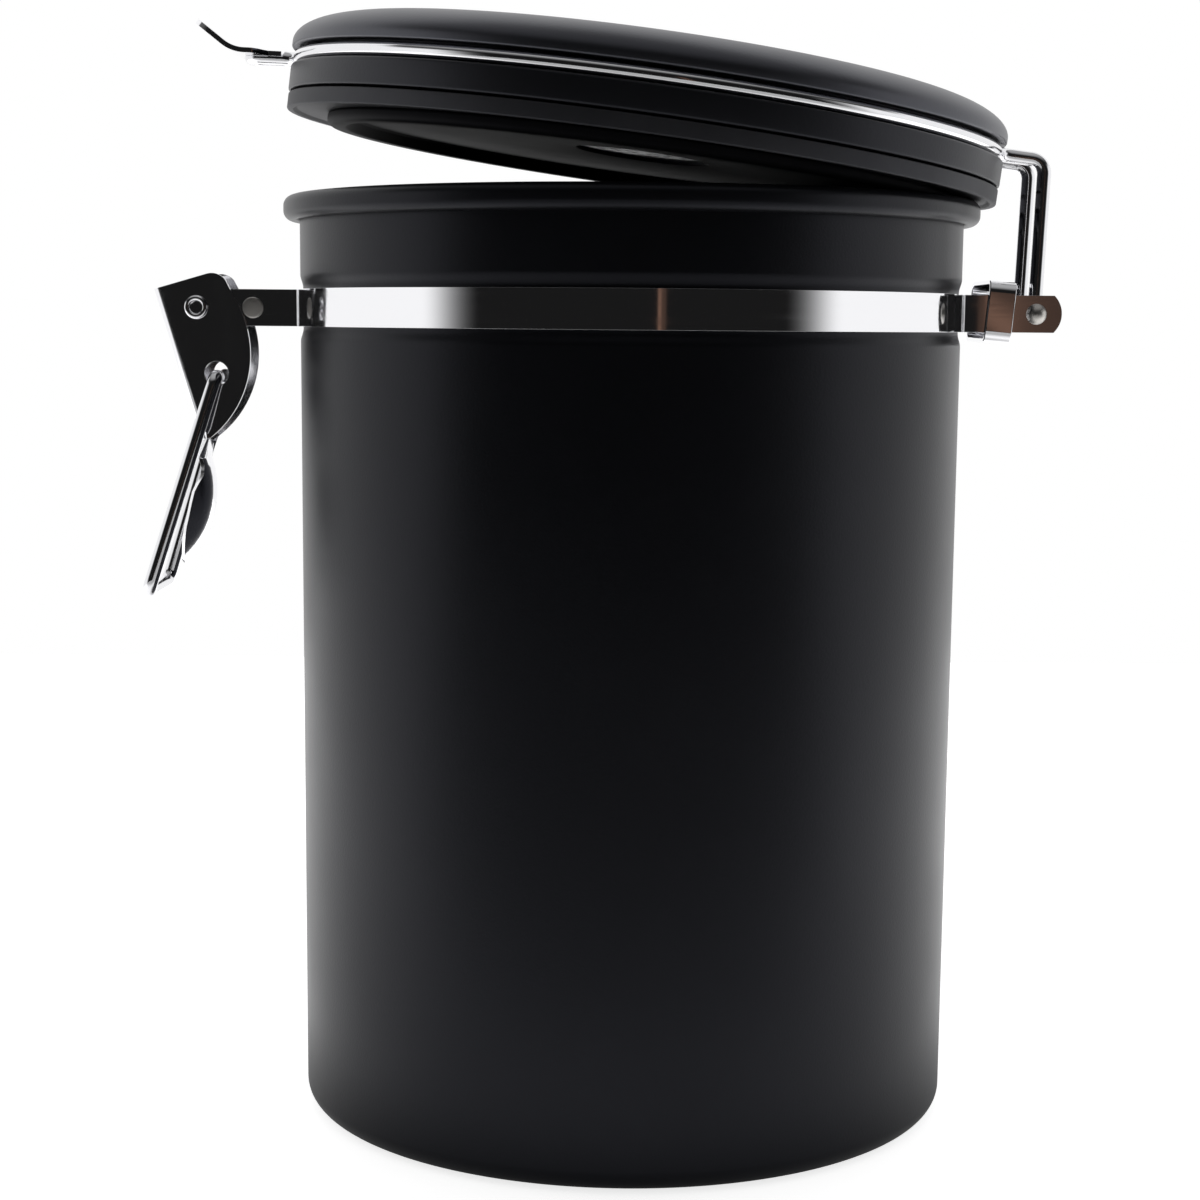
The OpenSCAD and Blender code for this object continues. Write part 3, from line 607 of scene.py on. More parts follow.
def drawn_lines(group, given):
    place, rough = given["Vector"], given["Roughness"]
    rougher = sums(group, "ADD", rough, given["Variation"])
    return {
        "Height": noise(group, place, 900.0, 3.0),
        "Roughness": spread(group, noise(group, place, 160.0, 3.0), 0.45, 0.75, rough, rougher),
    }


def lines_group():
    """Fine drawing or rolling lines along one direction of the metal."""
    return shared_group(
        "Drawing lines",
        {"Vector": ("Vector", None), "Roughness": ("Float", 0.08), "Variation": ("Float", 0.04)},
        {"Height": ("Float", None), "Roughness": ("Float", None)}, drawn_lines,
    )


def new_finish(name, stretch=(1, 1, 1)):
    """A material with its Principled shader and object coordinates."""
    material = bpy.data.materials.new(name)
    material.use_nodes = True
    tree = material.node_tree
    place = add(tree, "TexCoord").outputs["Object"]
    mapping = add(tree, "Mapping", {"Vector": place, "Scale": stretch})
    return material, tree, tree.nodes["Principled BSDF"], mapping.outputs["Vector"]


def coated(name, tint, roughness, dust, grain, strength, distance, specular):
    """A dark satin coating or moulding with fine grain and a little dust."""
    material, tree, shader, place = new_finish(name)
    texture = add(tree, "Group", {
        "Vector": place, "Scale": grain, "Roughness": roughness, "Variation": 0.035,
    }, node_tree=grain_group()).outputs
    wear = add(tree, "Group", {
        "Vector": place, "Color": (*tint, 1), "Amount": dust,
        "Dust": (*[min(1.0, c * 3 + 0.012) for c in tint], 1),
    }, node_tree=dust_group())
    bump = add(tree, "Bump", {
        "Height": texture["Height"], "Strength": strength, "Distance": distance,
    })
    feed(tree, shader, {
        "Base Color": wear.outputs["Color"], "Roughness": texture["Roughness"],
        "Specular IOR Level": specular, "Specular Tint": COOL_SHEEN,
        "Normal": bump.outputs["Normal"],
    })
    return material


def metal(name, tint, roughness, variation, stretch, strength):
    """Polished steel with fine lines stretched along one axis."""
    material, tree, shader, place = new_finish(name, stretch)
    lines = add(tree, "Group", {
        "Vector": place, "Roughness": roughness, "Variation": variation,
    }, node_tree=lines_group()).outputs
    bump = add(tree, "Bump", {
        "Height": lines["Height"], "Strength": strength, "Distance": LINE_DEPTH,
    })
    feed(tree, shader, {
        "Base Color": (*tint, 1), "Metallic": 1.0, "Roughness": lines["Roughness"],
        "Normal": bump.outputs["Normal"],
    })
    return material


COOL_SHEEN = (0.84, 0.86, 1.0, 1)
LINE_DEPTH = 0.02 * MM
EVEN = (1.0, 1.0, 1.0)
# Function and name, then its values in order:
# coated: colour, roughness, dust, grain scale, bump strength and distance, specular
# metal: colour, roughness and its variation, stretch of the lines, bump strength
# A word stands for the setting of that name in FinishColours.
FINISHES = {
    "coating": (coated, "Black coating", "coating", "coating_gloss",
                0.12, 2300.0, 0.42, 0.00004, 0.24),
    "lid": (coated, "Lid plastic", "lid", "lid_gloss", 0.10, 1900.0, 0.42, 0.00004, 0.36),
    "cap": (coated, "Cap plastic", "lid", "lid_gloss", 0.10, 1900.0, 0.42, 0.00004, 1.0),
    "plug": (coated, "Plug plastic", "plug", 0.55, 0.15, 1500.0, 0.18, 0.00004, 0.05),
    "rubber": (coated, "Gasket rubber", "rubber", 0.55, 0.35, 1200.0, 0.25, 0.00005, 0.45),
    "silicone": (coated, "Silicone", "silicone", 0.5, 0.2, 1200.0, 0.15, 0.00004, 0.45),
    "bright": (metal, "Bright steel", "bright", 0.055, 0.06, (0.25, 0.25, 4.0), 0.05),
    "lever": (metal, "Lever steel", "bright", 0.07, 0.08, (1.0, 1.0, 0.3), 0.05),
    "wire": (metal, "Wire steel", "wire", 0.085, 0.06, EVEN, 0.04),
    "rivet": (metal, "Rivet steel", "rivet", 0.36, 0.12, EVEN, 0.12),
    "filter": (metal, "Filter steel", "filter", 0.3, 0.12, EVEN, 0.1),
}


def finish_of(key):
    """One of the finishes, made when it is first asked for."""
    make, name, *values = FINISHES[key]
    if name in bpy.data.materials:
        return bpy.data.materials[name]
    colours = bpy.context.scene.canister_colours
    return make(name, *[getattr(colours, v) if isinstance(v, str) else v for v in values])


# ---------------------------------------------------------------- pieces


def step_line(r0, z0, r1, z1, steps):
    """A smooth step from one radius to another."""
    return [
        (r0 + (r1 - r0) * (1 - math.cos(math.pi * k / steps)) / 2, z0 + (z1 - z0) * k / steps)
        for k in range(steps + 1)
    ]


class CANISTER_OT_can(bpy.types.Operator):
    """Spins the coated can with its rolled rim, band groove and base"""

    bl_idname = "canister.can"
    bl_label = "Can"

    def execute(self, context):
        can, clamp = sizes(context, "can", "clamp")
        r, w = can.radius, can.wall
        band_z = can.height - clamp.band_drop
        half = clamp.band_height / 2 + 0.3 * MM
        floor = r - can.groove_depth
        z1, z2 = band_z - half - can.groove_blend, band_z - half
        z3, z4 = band_z + half, band_z + half + can.groove_blend
        foot = r - can.base_radius
        ring_out = foot - can.foot
        ring_in = ring_out - can.recess_width
        slope, bend = 1.4 * MM, 1.1 * MM
        base = rounded([
            (0, 0, 0), (ring_in, 0, bend), (ring_in + slope, can.recess, bend),
            (ring_out - slope, can.recess, bend), (ring_out, 0, bend), (foot, 0, 0),
        ])
        inner_base = [(max(x, 0), z + w) for x, z in base]
        rim_mid = can.height - can.rim_height / 2
        lip = (can.rim_reach + w) / 2
        out_c = r - w + lip
        outer = (
            base + arc(foot, can.base_radius, can.base_radius, -90, 0, 14)[1:]
            + step_line(r, z1, floor, z2, 14) + step_line(floor, z3, r, z4, 14)
        )
        inner = (
            step_line(r - w, z4, floor - w, z3, 14) + step_line(floor - w, z2, r - w, z1, 14)
            + arc(foot, can.base_radius, can.base_radius - w, 0, -90, 14)
            + inner_base[::-1][1:]
        )
        top = can.rim_height / 2 - lip
        # The rim's curl: its hidden side down to the cut edge, then back over its outside
        high, low = rim_mid + top, rim_mid - top
        curl_out = arc(out_c, high, lip, 180, 0, 16) + arc(out_c, low, lip, 0, -165, 16)
        curl_in = arc(out_c, low, lip - w, -165, 0, 16) + arc(out_c, high, lip - w, 0, 180, 16)
        line = outer + [(r, rim_mid)] + curl_in[::-1] + curl_out[::-1] + [(r - w, rim_mid)]
        spin_piece("can_look", line + inner, "coating", "can", "can_body")
        return {"FINISHED"}


def band_line(clamp, can):
    """Centre line of the front band half in XY, with a half height at each point."""
    t = clamp.band_thickness
    mid_r = can.radius - can.groove_depth + FIT + t / 2
    bend = clamp.ear_bend
    half = clamp.band_height / 2
    hinge_mid = clamp.leg_y + EAR_GAP + t / 2
    latch_mid = clamp.latch_gap + t / 2
    latch_end_r, hinge_end_r, tip = 3.9 * MM, 4.58 * MM, 0.02 * MM

    def bend_x(y):
        return math.sqrt((mid_r + bend) ** 2 - (y + bend) ** 2)

    def angle(y):
        return math.degrees(math.asin((y + bend) / (mid_r + bend)))

    def ear_end(x_mid, radius, y):
        reach = math.asin(min(1.0, half / radius))
        return [
            (x_mid + math.copysign(radius * math.cos(reach * k / 8), x_mid), -y,
             max(radius * math.sin(reach * k / 8), tip))
            for k in range(9)
        ]

    lx, hx = bend_x(latch_mid), bend_x(hinge_mid)
    la, ha = angle(latch_mid), angle(hinge_mid)
    # Full height: each ear's straight stretch, its bend, and the band round the can
    full = (
        [(-74 * MM, -latch_mid), (-68 * MM, -latch_mid)]
        + arc(-lx, -latch_mid - bend, bend, 90, la, 8)
        + arc(0, 0, mid_r, 180 + la, 360 - ha, 110)[1:-1]
        + arc(hx, -hinge_mid - bend, bend, 180 - ha, 90, 8)
        + [(64 * MM, -hinge_mid), (70 * MM, -hinge_mid)]
    )
    return (
        ear_end(-clamp.latch_x, latch_end_r, latch_mid) + [(x, y, half) for x, y in full]
        + ear_end(clamp.hinge_x, hinge_end_r, hinge_mid)[::-1]
    )


class CANISTER_OT_band(bpy.types.Operator):
    """Sweeps the two halves of the bright clamp band with their ears"""

    bl_idname = "canister.band"
    bl_label = "Clamp band"

    def execute(self, context):
        can, clamp = sizes(context, "can", "clamp")
        z = can.height - clamp.band_drop
        line = band_line(clamp, can)
        for node, side in (("band_front", 1), ("band_rear", -1)):
            low = [(x, y * side, z - h) for x, y, h in line]
            bm = sheet(low, lambda p: (p.x, p.y, 2 * z - p.z))
            piece = finish_piece(node + "_look", bm, "bright", "can", node)
            thicken(piece, clamp.band_thickness)
            soften_edges(piece, 0.16 * MM)
        return {"FINISHED"}


def rounded_rectangle(w, h, radius, steps=6):
    """Outline of a rectangle with round corners."""
    points = []
    for quarter, (sx, sy) in enumerate(((1, 1), (-1, 1), (-1, -1), (1, -1))):
        points += arc(sx * (w / 2 - radius), sy * (h / 2 - radius), radius,
                      90 * quarter, 90 * quarter + 90, steps)
    return points


def band_tube(w, h, radius, wall, depth):
    """A short rectangular tube with round corners, along Z."""
    bm = bmesh.new()
    edges = []
    for inset in (0, wall):
        outline = rounded_rectangle(w - 2 * inset, h - 2 * inset, radius - inset)
        edges += chain(bm, [(x, y, -depth / 2) for x, y in outline])[1]
    bmesh.ops.bridge_loops(bm, edges=edges)
    grown = bmesh.ops.extrude_face_region(bm, geom=list(bm.faces))
    bmesh.ops.translate(bm, vec=(0, 0, depth), verts=verts_in(grown["geom"]))
    tidy(bm)
    return bm


class CANISTER_OT_sleeve(bpy.types.Operator):
    """Forms the rectangular sleeve that ties the two hinge ears"""

    bl_idname = "canister.sleeve"
    bl_label = "Hinge sleeve"

    def execute(self, context):
        can, clamp = sizes(context, "can", "clamp")
        wall, corner, play = 0.75 * MM, 2.1 * MM, 0.1 * MM
        middle = Vector((66.1 * MM, 0, can.height - clamp.band_drop + 0.3 * MM))
        half_y = clamp.leg_y + EAR_GAP + clamp.band_thickness + play + wall
        bm = band_tube(2 * half_y, clamp.sleeve_height, corner, wall, clamp.sleeve_width)
        # The tube's axis from its own Z to the can's X
        moved(Matrix(((0, 0, 1, 0), (1, 0, 0, 0), (0, 1, 0, 0), (0, 0, 0, 1))), bm)
        moved(Matrix.Rotation(clamp.sleeve_lean, 4, "Y"), bm)
        moved(Matrix.Translation(middle), bm)
        piece = finish_piece(
            "hinge_sleeve_look", bm, "bright", "can", "hinge_sleeve"
        )
        soften_edges(piece, 0.2 * MM, 3)
        return {"FINISHED"}


def rivet(name, at, reach, shank, head, rise, node, flat=0.0):
    """A rivet along Y with a domed head at each end, or a flat one with rounded edges."""
    top_y = reach + rise
    line = [(0, top_y)]
    if flat:
        line += rounded([(0, top_y, 0), (head / 2, top_y, flat), (head / 2, reach, 0)])[1:]
    else:
        ball = (head * head / 4 + rise * rise) / (2 * rise)
        top = math.degrees(math.acos((ball - rise) / ball))
        line += arc(0, top_y - ball, ball, 90, 90 - top, 10)[1:]
    line += [(shank / 2, reach), (shank / 2, 0)]
    line += [(r, -z) for r, z in line[::-1][1:]]
    bm = lathe(line, closed=False)
    along_y(bm)
    moved(Matrix.Translation(at), bm)
    tidy(bm)
    finish_piece(name, bm, "rivet", "can", node)


class CANISTER_OT_rivets(bpy.types.Operator):
    """Spins the hinge rivet, the latch rivet and the lever's tubular pivot"""

    bl_idname = "canister.rivets"
    bl_label = "Rivets"

    def execute(self, context):
        can, clamp, latch = sizes(context, "can", "clamp", "latch")
        z = can.height - clamp.band_drop
        hinge_out = clamp.leg_y + EAR_GAP + clamp.band_thickness
        rivet("hinge_rivet_look", (clamp.hinge_x, 0, z), hinge_out, 2.6 * MM, clamp.hinge_head,
              1.1 * MM, "hinge_rivet")
        ear_out = clamp.latch_gap + clamp.band_thickness
        rivet("latch_rivet_look", (clamp.rivet_back - clamp.latch_x, 0, z), ear_out, 3 * MM,
              clamp.latch_head, 0.55 * MM, "latch_rivet", 0.25 * MM)
        # The tubular pivot, with a rolled flange on each side of the lever
        y = ear_out + latch.gap + latch.sheet + 0.12 * MM
        tube, bore, lip, flange, roll = 1.5 * MM, 1.1 * MM, 0.55 * MM, 2.15 * MM, 0.48 * MM
        line = rounded([
            (bore, 0, 0), (bore, y + lip, roll), (flange, y + lip, roll),
            (flange, y, 0.04 * MM), (tube, y, 0), (tube, 0, 0),
        ])
        bm = lathe(line, closed=False)
        add_mirrored(bm, (1, 1, -1))
        along_y(bm)
        moved(Matrix.Translation((-clamp.latch_x, 0, z)), bm)
        tidy(bm)
        finish_piece("lever_pivot_look", bm, "bright", "can", "lever_eyelet")
        return {"FINISHED"}


def lever_outline(latch):
    """Side plate of the lever in (x, z), without its back edge, top to bottom."""
    corner = 3.1 * MM
    top = arc(3.6 * MM, latch.top - corner, corner, 90, 24, 6)
    belly = arc(-11.6 * MM, -5.2 * MM, 19.35 * MM, 9, -69, 30)
    return top + belly


class CANISTER_OT_lever(bpy.types.Operator):
    """Stamps the latch lever: side plates, rounded back and dished finger tab"""

    bl_idname = "canister.lever"
    bl_label = "Latch lever"

    def execute(self, context):
        can, clamp, latch = sizes(context, "can", "clamp", "latch")
        t = latch.sheet
        side_y = clamp.latch_gap + clamp.band_thickness + latch.gap + t / 2
        bend = 1.6 * MM - t / 2
        back_x = -latch.back + t / 2
        front = lever_outline(latch)
        bottom = front[-1]
        levels = [latch.top + (bottom[1] - latch.top) * k / 24 for k in range(25)]
        # Side plate, with its pivot hole and loop hole
        outline = front + [(back_x + bend, z) for z in levels[::-1]]
        outline = [p for i, p in enumerate(outline)
                   if i == 0 or (Vector(p) - Vector(outline[i - 1])).length > 1e-6]
        bm = plate(outline, [(0, 0, 1.57 * MM), (0, -latch.arm, latch.hole / 2)])
        moved(Matrix(((1, 0, 0, 0), (0, 0, 1, -side_y), (0, 1, 0, 0), (0, 0, 0, 1))), bm)
        add_mirrored(bm, (1, -1, 1))
        # Back, bent round from one side plate to the other
        straight = side_y - bend
        across = (
            arc(back_x + bend, -straight, bend, -90, -180, 6)
            + [(back_x, -straight + straight * 2 * k / 8) for k in range(1, 8)]
            + arc(back_x + bend, straight, bend, 180, 90, 6)
        )
        rows = [[bm.verts.new((x, y, z)) for x, y in across] for z in levels]
        for upper, lower in zip(rows, rows[1:]):
            for i in range(len(across) - 1):
                bm.faces.new((upper[i], upper[i + 1], lower[i + 1], lower[i]))
        # Neck and finger tab, narrowing and then dished
        lean, dish_r = math.radians(31.6), 9.2 * MM
        start = Vector((-latch.back + 0.15 * MM, -latch.tab_start))
        down = Vector((-math.sin(lean), -math.cos(lean)))
        out = Vector((math.cos(lean), -math.sin(lean)))
        mid, bulge, along_r = latch.tab_length / 2, 2.9 * MM, 18.7 * MM
        wide = latch.tab_width / 2 / MM
        last = rows[-1]
        # Half widths at distances along the tab, in millimetres
        shape = ((0.0, 4.2), (1.5, 4.35), (3.0, 5.0), (4.5, 6.1), (6.0, 6.75), (8.0, wide),
                 (10.5, wide), (12.5, 6.85), (14.0, 6.5), (15.5, 5.9), (17.0, 4.95),
                 (18.2, 3.8), (19.1, 2.5), (19.7, 1.1))
        count = len(across)
        for s, half in ((s * MM, half * MM) for s, half in shape):
            row = []
            rise = bulge - along_r + math.sqrt(along_r ** 2 - (s - mid) ** 2)
            for i in range(count):
                y = -half + 2 * half * i / (count - 1)
                dish = dish_r - math.sqrt(dish_r ** 2 - y * y)
                p = start + down * s + out * (rise - dish - t / 2)
                row.append(bm.verts.new((p.x, y, p.y)))
            for i in range(count - 1):
                bm.faces.new((last[i], last[i + 1], row[i + 1], row[i]))
            last = row
        bmesh.ops.remove_doubles(bm, verts=bm.verts, dist=2e-5)
        bmesh.ops.recalc_face_normals(bm, faces=bm.faces)
        moved(lever_matrix(latch, clamp, can), bm)
        piece = finish_piece(
            "latch_lever_look", bm, "lever", "lever", "latch_lever"
        )
        thicken(piece, t)
        soften_edges(piece, 0.14 * MM)
        return {"FINISHED"}


class CANISTER_OT_loop(bpy.types.Operator):
    """Bends the wire loop that hooks over the lid plate"""

    bl_idname = "canister.loop"
    bl_label = "Wire loop"

    def execute(self, context):
        can, clamp, latch = sizes(context, "can", "clamp", "latch")
        inner = clamp.latch_gap + clamp.band_thickness + latch.gap
        stub, top = inner - 0.7 * MM, inner + latch.sheet + latch.wire / 2 + 0.35 * MM
        half, far = latch.loop_half, -latch.loop_length
        near_bend, far_bend = 1.5 * MM, 2.4 * MM
        bm = bmesh.new()
        wire = Wire(bm, (0, -stub, 0), (0, -1, 0), latch.wire)
        wire.towards((0, -top, 0), (0, -half, far), near_bend)
        wire.towards((0, -half, far), (0, half, far), far_bend, 10)
        wire.towards((0, half, far), (0, top, 0), far_bend, 10)
        wire.towards((0, top, 0), (0, stub, 0), near_bend)
        wire.forward((wire.at - Vector((0, stub, 0))).length)
        wire.end()
        tidy(bm)
        place = (
            lever_matrix(latch, clamp, can) @ Matrix.Translation((0, 0, -latch.arm))
            @ Matrix.Rotation(latch.tilt, 4, "Y") @ Matrix.Translation((0, 0, -latch.loop_sag))
            @ Matrix.Rotation(latch.hang, 4, "Y")
        )
        moved(place, bm)
        finish_piece("wire_loop_look", bm, "wire", "loop", "wire_loop")
        return {"FINISHED"}


class CANISTER_OT_lid_shells(bpy.types.Operator):
    """Spins the lid's domed cap and its lower rim"""

    bl_idname = "canister.lid_shells"
    bl_label = "Lid cap and lower rim"

    def execute(self, context):
        can, clamp, lid, valve = sizes(context, "can", "clamp", "lid", "valve")
        place = lid_matrix(lid, clamp, can)
        cap_z = lid.rim_height + lid.groove_height
        cap_r = lid.radius + 0.2 * MM
        shoulder_z = cap_z + 1 * MM
        wide, high, wall = lid.shoulder_width, lid.shoulder_height, lid.wall
        inner_r = cap_r - wide
        top = shoulder_z + high
        crown_z = top + lid.crown
        core = lid.radius - lid.groove_depth
        core_out, core_in = core + BORE_GAP, core - wall
        seat = cap_z + 1.6 * MM
        pocket = top - 1.6 * MM
        bore = valve.housing_radius + BORE_GAP
        vent = valve.vent_radius + 0.25 * MM
        mouth = vent + 3 * MM

        def shoulder(inset, angles):
            return [
                (inner_r + (wide - inset) * math.cos(a), shoulder_z + (high - inset) * math.sin(a))
                for a in map(math.radians, angles)
            ]

        crown = [(inner_r + (mouth - inner_r) * k / 8, top + lid.crown * math.sin(QUARTER * k / 8))
                 for k in range(1, 9)]
        well = rounded([
            (mouth, crown_z, 0), (vent + 1.2 * MM, crown_z, 0.8 * MM),
            (vent, crown_z - 1 * MM, 0.4 * MM), (vent, pocket, 0), (bore, pocket, 0),
            (bore, pocket - wall, 0),
        ])[1:]
        under = [(bore + 2 * MM, pocket - wall), (inner_r, top - wall)]
        skirt = [(core_in - 0.4 * MM, seat), (core_out, seat), (core_out, cap_z)]
        edge = rounded([(core_out, cap_z, 0), (cap_r, cap_z, 0.35 * MM), (cap_r, shoulder_z, 0)], 4)
        cap = (
            edge[1:-1] + shoulder(0, [90 * k / 26 for k in range(27)]) + crown + well + under
            + shoulder(wall, range(84, 47, -6)) + skirt
        )
        spin_piece("lid_cap_look", cap, "cap", "lid", "lid_cap", place)
        low = rounded([
            (bore, 0.0, 0), (lid.radius, 0, 0.5 * MM), (lid.radius, lid.rim_height, 0.45 * MM),
            (core, lid.rim_height, EDGE), (core, seat, 0), (core_in, seat, 0),
            (core_in, wall, 1 * MM), (bore, wall, 0),
        ])
        spin_piece("lid_lower_rim_look", low, "lid", "lid", "lid_base", place)
        return {"FINISHED"}


class CANISTER_OT_gasket_plug(bpy.types.Operator):
    """Spins the rubber gasket and the plug under the lid"""

    bl_idname = "canister.gasket_plug"
    bl_label = "Gasket and plug"

    def execute(self, context):
        can, clamp, lid, valve = sizes(context, "can", "clamp", "lid", "valve")
        place = lid_matrix(lid, clamp, can)
        neck = lid.plug_radius - 1.2 * MM
        bore_r, lip = neck + FIT, lid.radius - 0.1 * MM
        gap, drop = lid.lip_gap, lid.gasket + lid.lip_gap
        edge = drop + lid.lip_drop
        foot = neck + (lip - neck) * 0.5
        line = rounded([
            (bore_r, 0, 0), (bore_r, -drop, EDGE), (lip - 1.7 * MM, -drop, 0.5 * MM),
            (lip - 1.1 * MM, -edge, EDGE), (lip, -edge, EDGE), (lip, -gap, EDGE),
            (foot, -gap, 0), (foot - gap, 0, 0),
        ])
        spin_piece("gasket_look", line, "rubber", "lid", "lid_gasket", place)

        r, h, shelf = lid.plug_radius, lid.plug_height, drop + 0.25 * MM
        bore, hole = valve.housing_radius + BORE_GAP, valve.filter_radius + BORE_GAP
        seat, floor, step = 0.9 * MM, 2.3 * MM, 0.4 * MM
        line = rounded([
            (bore, 0, 0), (bore, -seat, 0), (hole, -seat, 0), (hole, -floor, EDGE),
            (r - 5.2 * MM, -2.6 * MM, step), (r - 4.4 * MM, -3 * MM, step),
            (r - 3.4 * MM, -h, 0.5 * MM), (r, -h, 1.1 * MM), (r, -shelf, EDGE),
            (neck, -shelf, 0), (neck, 0, 0),
        ])
        spin_piece("plug_look", line, "plug", "lid", "lid_plug", place)
        return {"FINISHED"}


class CANISTER_OT_lid_wire(bpy.types.Operator):
    """Bends the lid wire: ring, hinge legs with eyes, and nose"""

    bl_idname = "canister.lid_wire"
    bl_label = "Lid wire"

    def press(self, bm, lid):
        """Presses the top of the nose flat for the hook plate."""
        start, reach = 0.4 * MM, 8 * MM
        root = nose_matrix(lid)
        back = root.inverted()
        for v in bm.verts:
            p = back @ v.co
            if p.x < start and p.z > lid.nose_flat and abs(v.co.y) < reach and v.co.x < 0:
                p.z += (lid.nose_flat - p.z) * min(1.0, (start - p.x) / start)
                v.co = root @ p

    def execute(self, context):
        can, clamp, lid = sizes(context, "can", "clamp", "lid")
        ring_r, ring_z = wire_ring(lid)
        lid_z = can.height + lid.squeeze
        pivot_z = can.height - clamp.band_drop
        turn = lid.turn_radius
        eye_r, nose_bend = 2.2 * MM, 4 * MM
        back = math.asin((clamp.leg_y + turn) / (ring_r + turn))
        front = math.asin((lid.nose_y + turn) / (ring_r + turn))
        back_x = (ring_r + turn) * math.cos(back)
        top_x = clamp.hinge_x - (lid_z + ring_z - pivot_z) * math.tan(lid.leg_lean) + lid.shift
        eye = Vector((clamp.hinge_x + lid.shift, -clamp.leg_y, pivot_z - lid_z))
        corner = Vector((top_x, -clamp.leg_y, ring_z))
        leg = (corner - eye).normalized()
        bm = bmesh.new()
        wire = Wire(bm, eye + leg * eye_r, leg, lid.wire)
        wire.towards(corner, (back_x, -clamp.leg_y, ring_z), lid.corner_radius, 10)
        wire.forward(wire.at.x - back_x)
        wire.turn((0, 0, 1), turn, QUARTER - back, 12)
        wire.turn((0, 0, -1), ring_r, math.pi - back - front, 130)
        wire.turn((0, 0, 1), turn, QUARTER - front, 12)
        wire.forward(0.2 * MM)
        wire.turn((0, -1, 0), nose_bend, lid.nose_dip, 4)
        wire.forward(lid.nose_length)
        c, s = math.cos(lid.nose_dip), math.sin(lid.nose_dip)
        wire.turn((s, 0, -c), lid.nose_y, QUARTER, 10)
        self.press(bm, lid)
        add_mirrored(bm, (1, -1, 1))
        bmesh.ops.remove_doubles(bm, verts=bm.verts, dist=1e-6)
        bore, out, half, inner, outer = 1.37 * MM, 2.9 * MM, 1.1 * MM, 0.2 * MM, 0.4 * MM
        ring = rounded([
            (bore, 0, 0), (bore, half, inner), (out, half, outer), (out, 0, 0),
            (out, -half, outer), (bore, -half, inner), (bore, -0.1 * MM, 0),
        ], 4)
        for side in (-1, 1):
            washer = lathe(ring)
            along_y(washer)
            moved(Matrix.Translation((eye.x, side * clamp.leg_y, eye.z)), washer)
            shell = mesh_from("eye", washer)
            bm.from_mesh(shell)
            bpy.data.meshes.remove(shell)
        bmesh.ops.recalc_face_normals(bm, faces=bm.faces)
        moved(lid_matrix(lid, clamp, can), bm)
        finish_piece("lid_wire_look", bm, "wire", "lid", "lid_wire")
        return {"FINISHED"}


class CANISTER_OT_hook(bpy.types.Operator):
    """Forms the hook plate on the wire's nose, with its turned-up lip"""

    bl_idname = "canister.hook"
    bl_label = "Hook plate"

    def execute(self, context):
        can, clamp, lid = sizes(context, "can", "clamp", "lid")
        t = lid.hook_thickness
        flat, bend, lip, corner = 6.2 * MM, 6.5 * MM, 6.28 * MM, 4 * MM
        neck, flare = 2.6 * MM, 2.4 * MM
        heading = -lid.nose_dip
        line = [(flat * k / 8 * math.cos(heading), flat * k / 8 * math.sin(heading))
                for k in range(9)]
        px, pz = line[-1]
        sweep = lid.nose_dip + lid.lip_rise
        a = heading + sweep
        cx, cz = px - bend * math.sin(heading), pz + bend * math.cos(heading)
        line += arc(cx, cz, bend, math.degrees(heading) - 90, math.degrees(a) - 90, 12)[1:]
        px, pz = line[-1]
        for k in range(1, 17):
            reach = lip * math.sin(QUARTER * k / 16)
            line.append((px + reach * math.cos(a), pz + reach * math.sin(a)))
        far = line[-1][0]
        half = lid.hook_width / 2
        root = lid.nose_y + lid.wire / 2 + FIT

        def width(x):
            if x < neck:
                return root
            if x < neck + flare:
                return root + (half - root) * math.sin(QUARTER * (x - neck) / flare)
            if x > far - corner:
                inset = (x - far + corner) / corner
                return half - corner + corner * math.sqrt(max(1 - inset * inset, 0.0))
            return half

        bm = sheet([(-x, -width(x), z) for x, z in line], lambda p: (p.x, -p.y, p.z))
        rise = Matrix.Translation((-FIT, 0, lid.nose_flat + 0.02 * MM + t / 2))
        moved(
            lid_matrix(lid, clamp, can) @ nose_matrix(lid) @ rise
            @ Matrix.Rotation(lid.nose_dip, 4, "Y"), bm,
        )
        piece = finish_piece(
            "hook_plate_look", bm, "bright", "lid", "hook_plate"
        )
        thicken(piece, t)
        soften_edges(piece, 0.4 * MM, 4)
        return {"FINISHED"}


class CANISTER_OT_valve(bpy.types.Operator):
    """Finishes the pieces that stay as the CAD drew them: the valve's and the spacer"""

    bl_idname = "canister.valve"
    bl_label = "Valve"

    def execute(self, context):
        for node, look in (
            ("valve_housing", "plug"), ("valve_disc", "silicone"), ("valve_cap", "lid"),
            ("filter_disc", "filter"), ("latch_spacer", "rivet"),
        ):
            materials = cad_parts[node].data.materials
            materials.clear()
            materials.append(finish_of(look))
        return {"FINISHED"}


# ---------------------------------------------------------------- studio


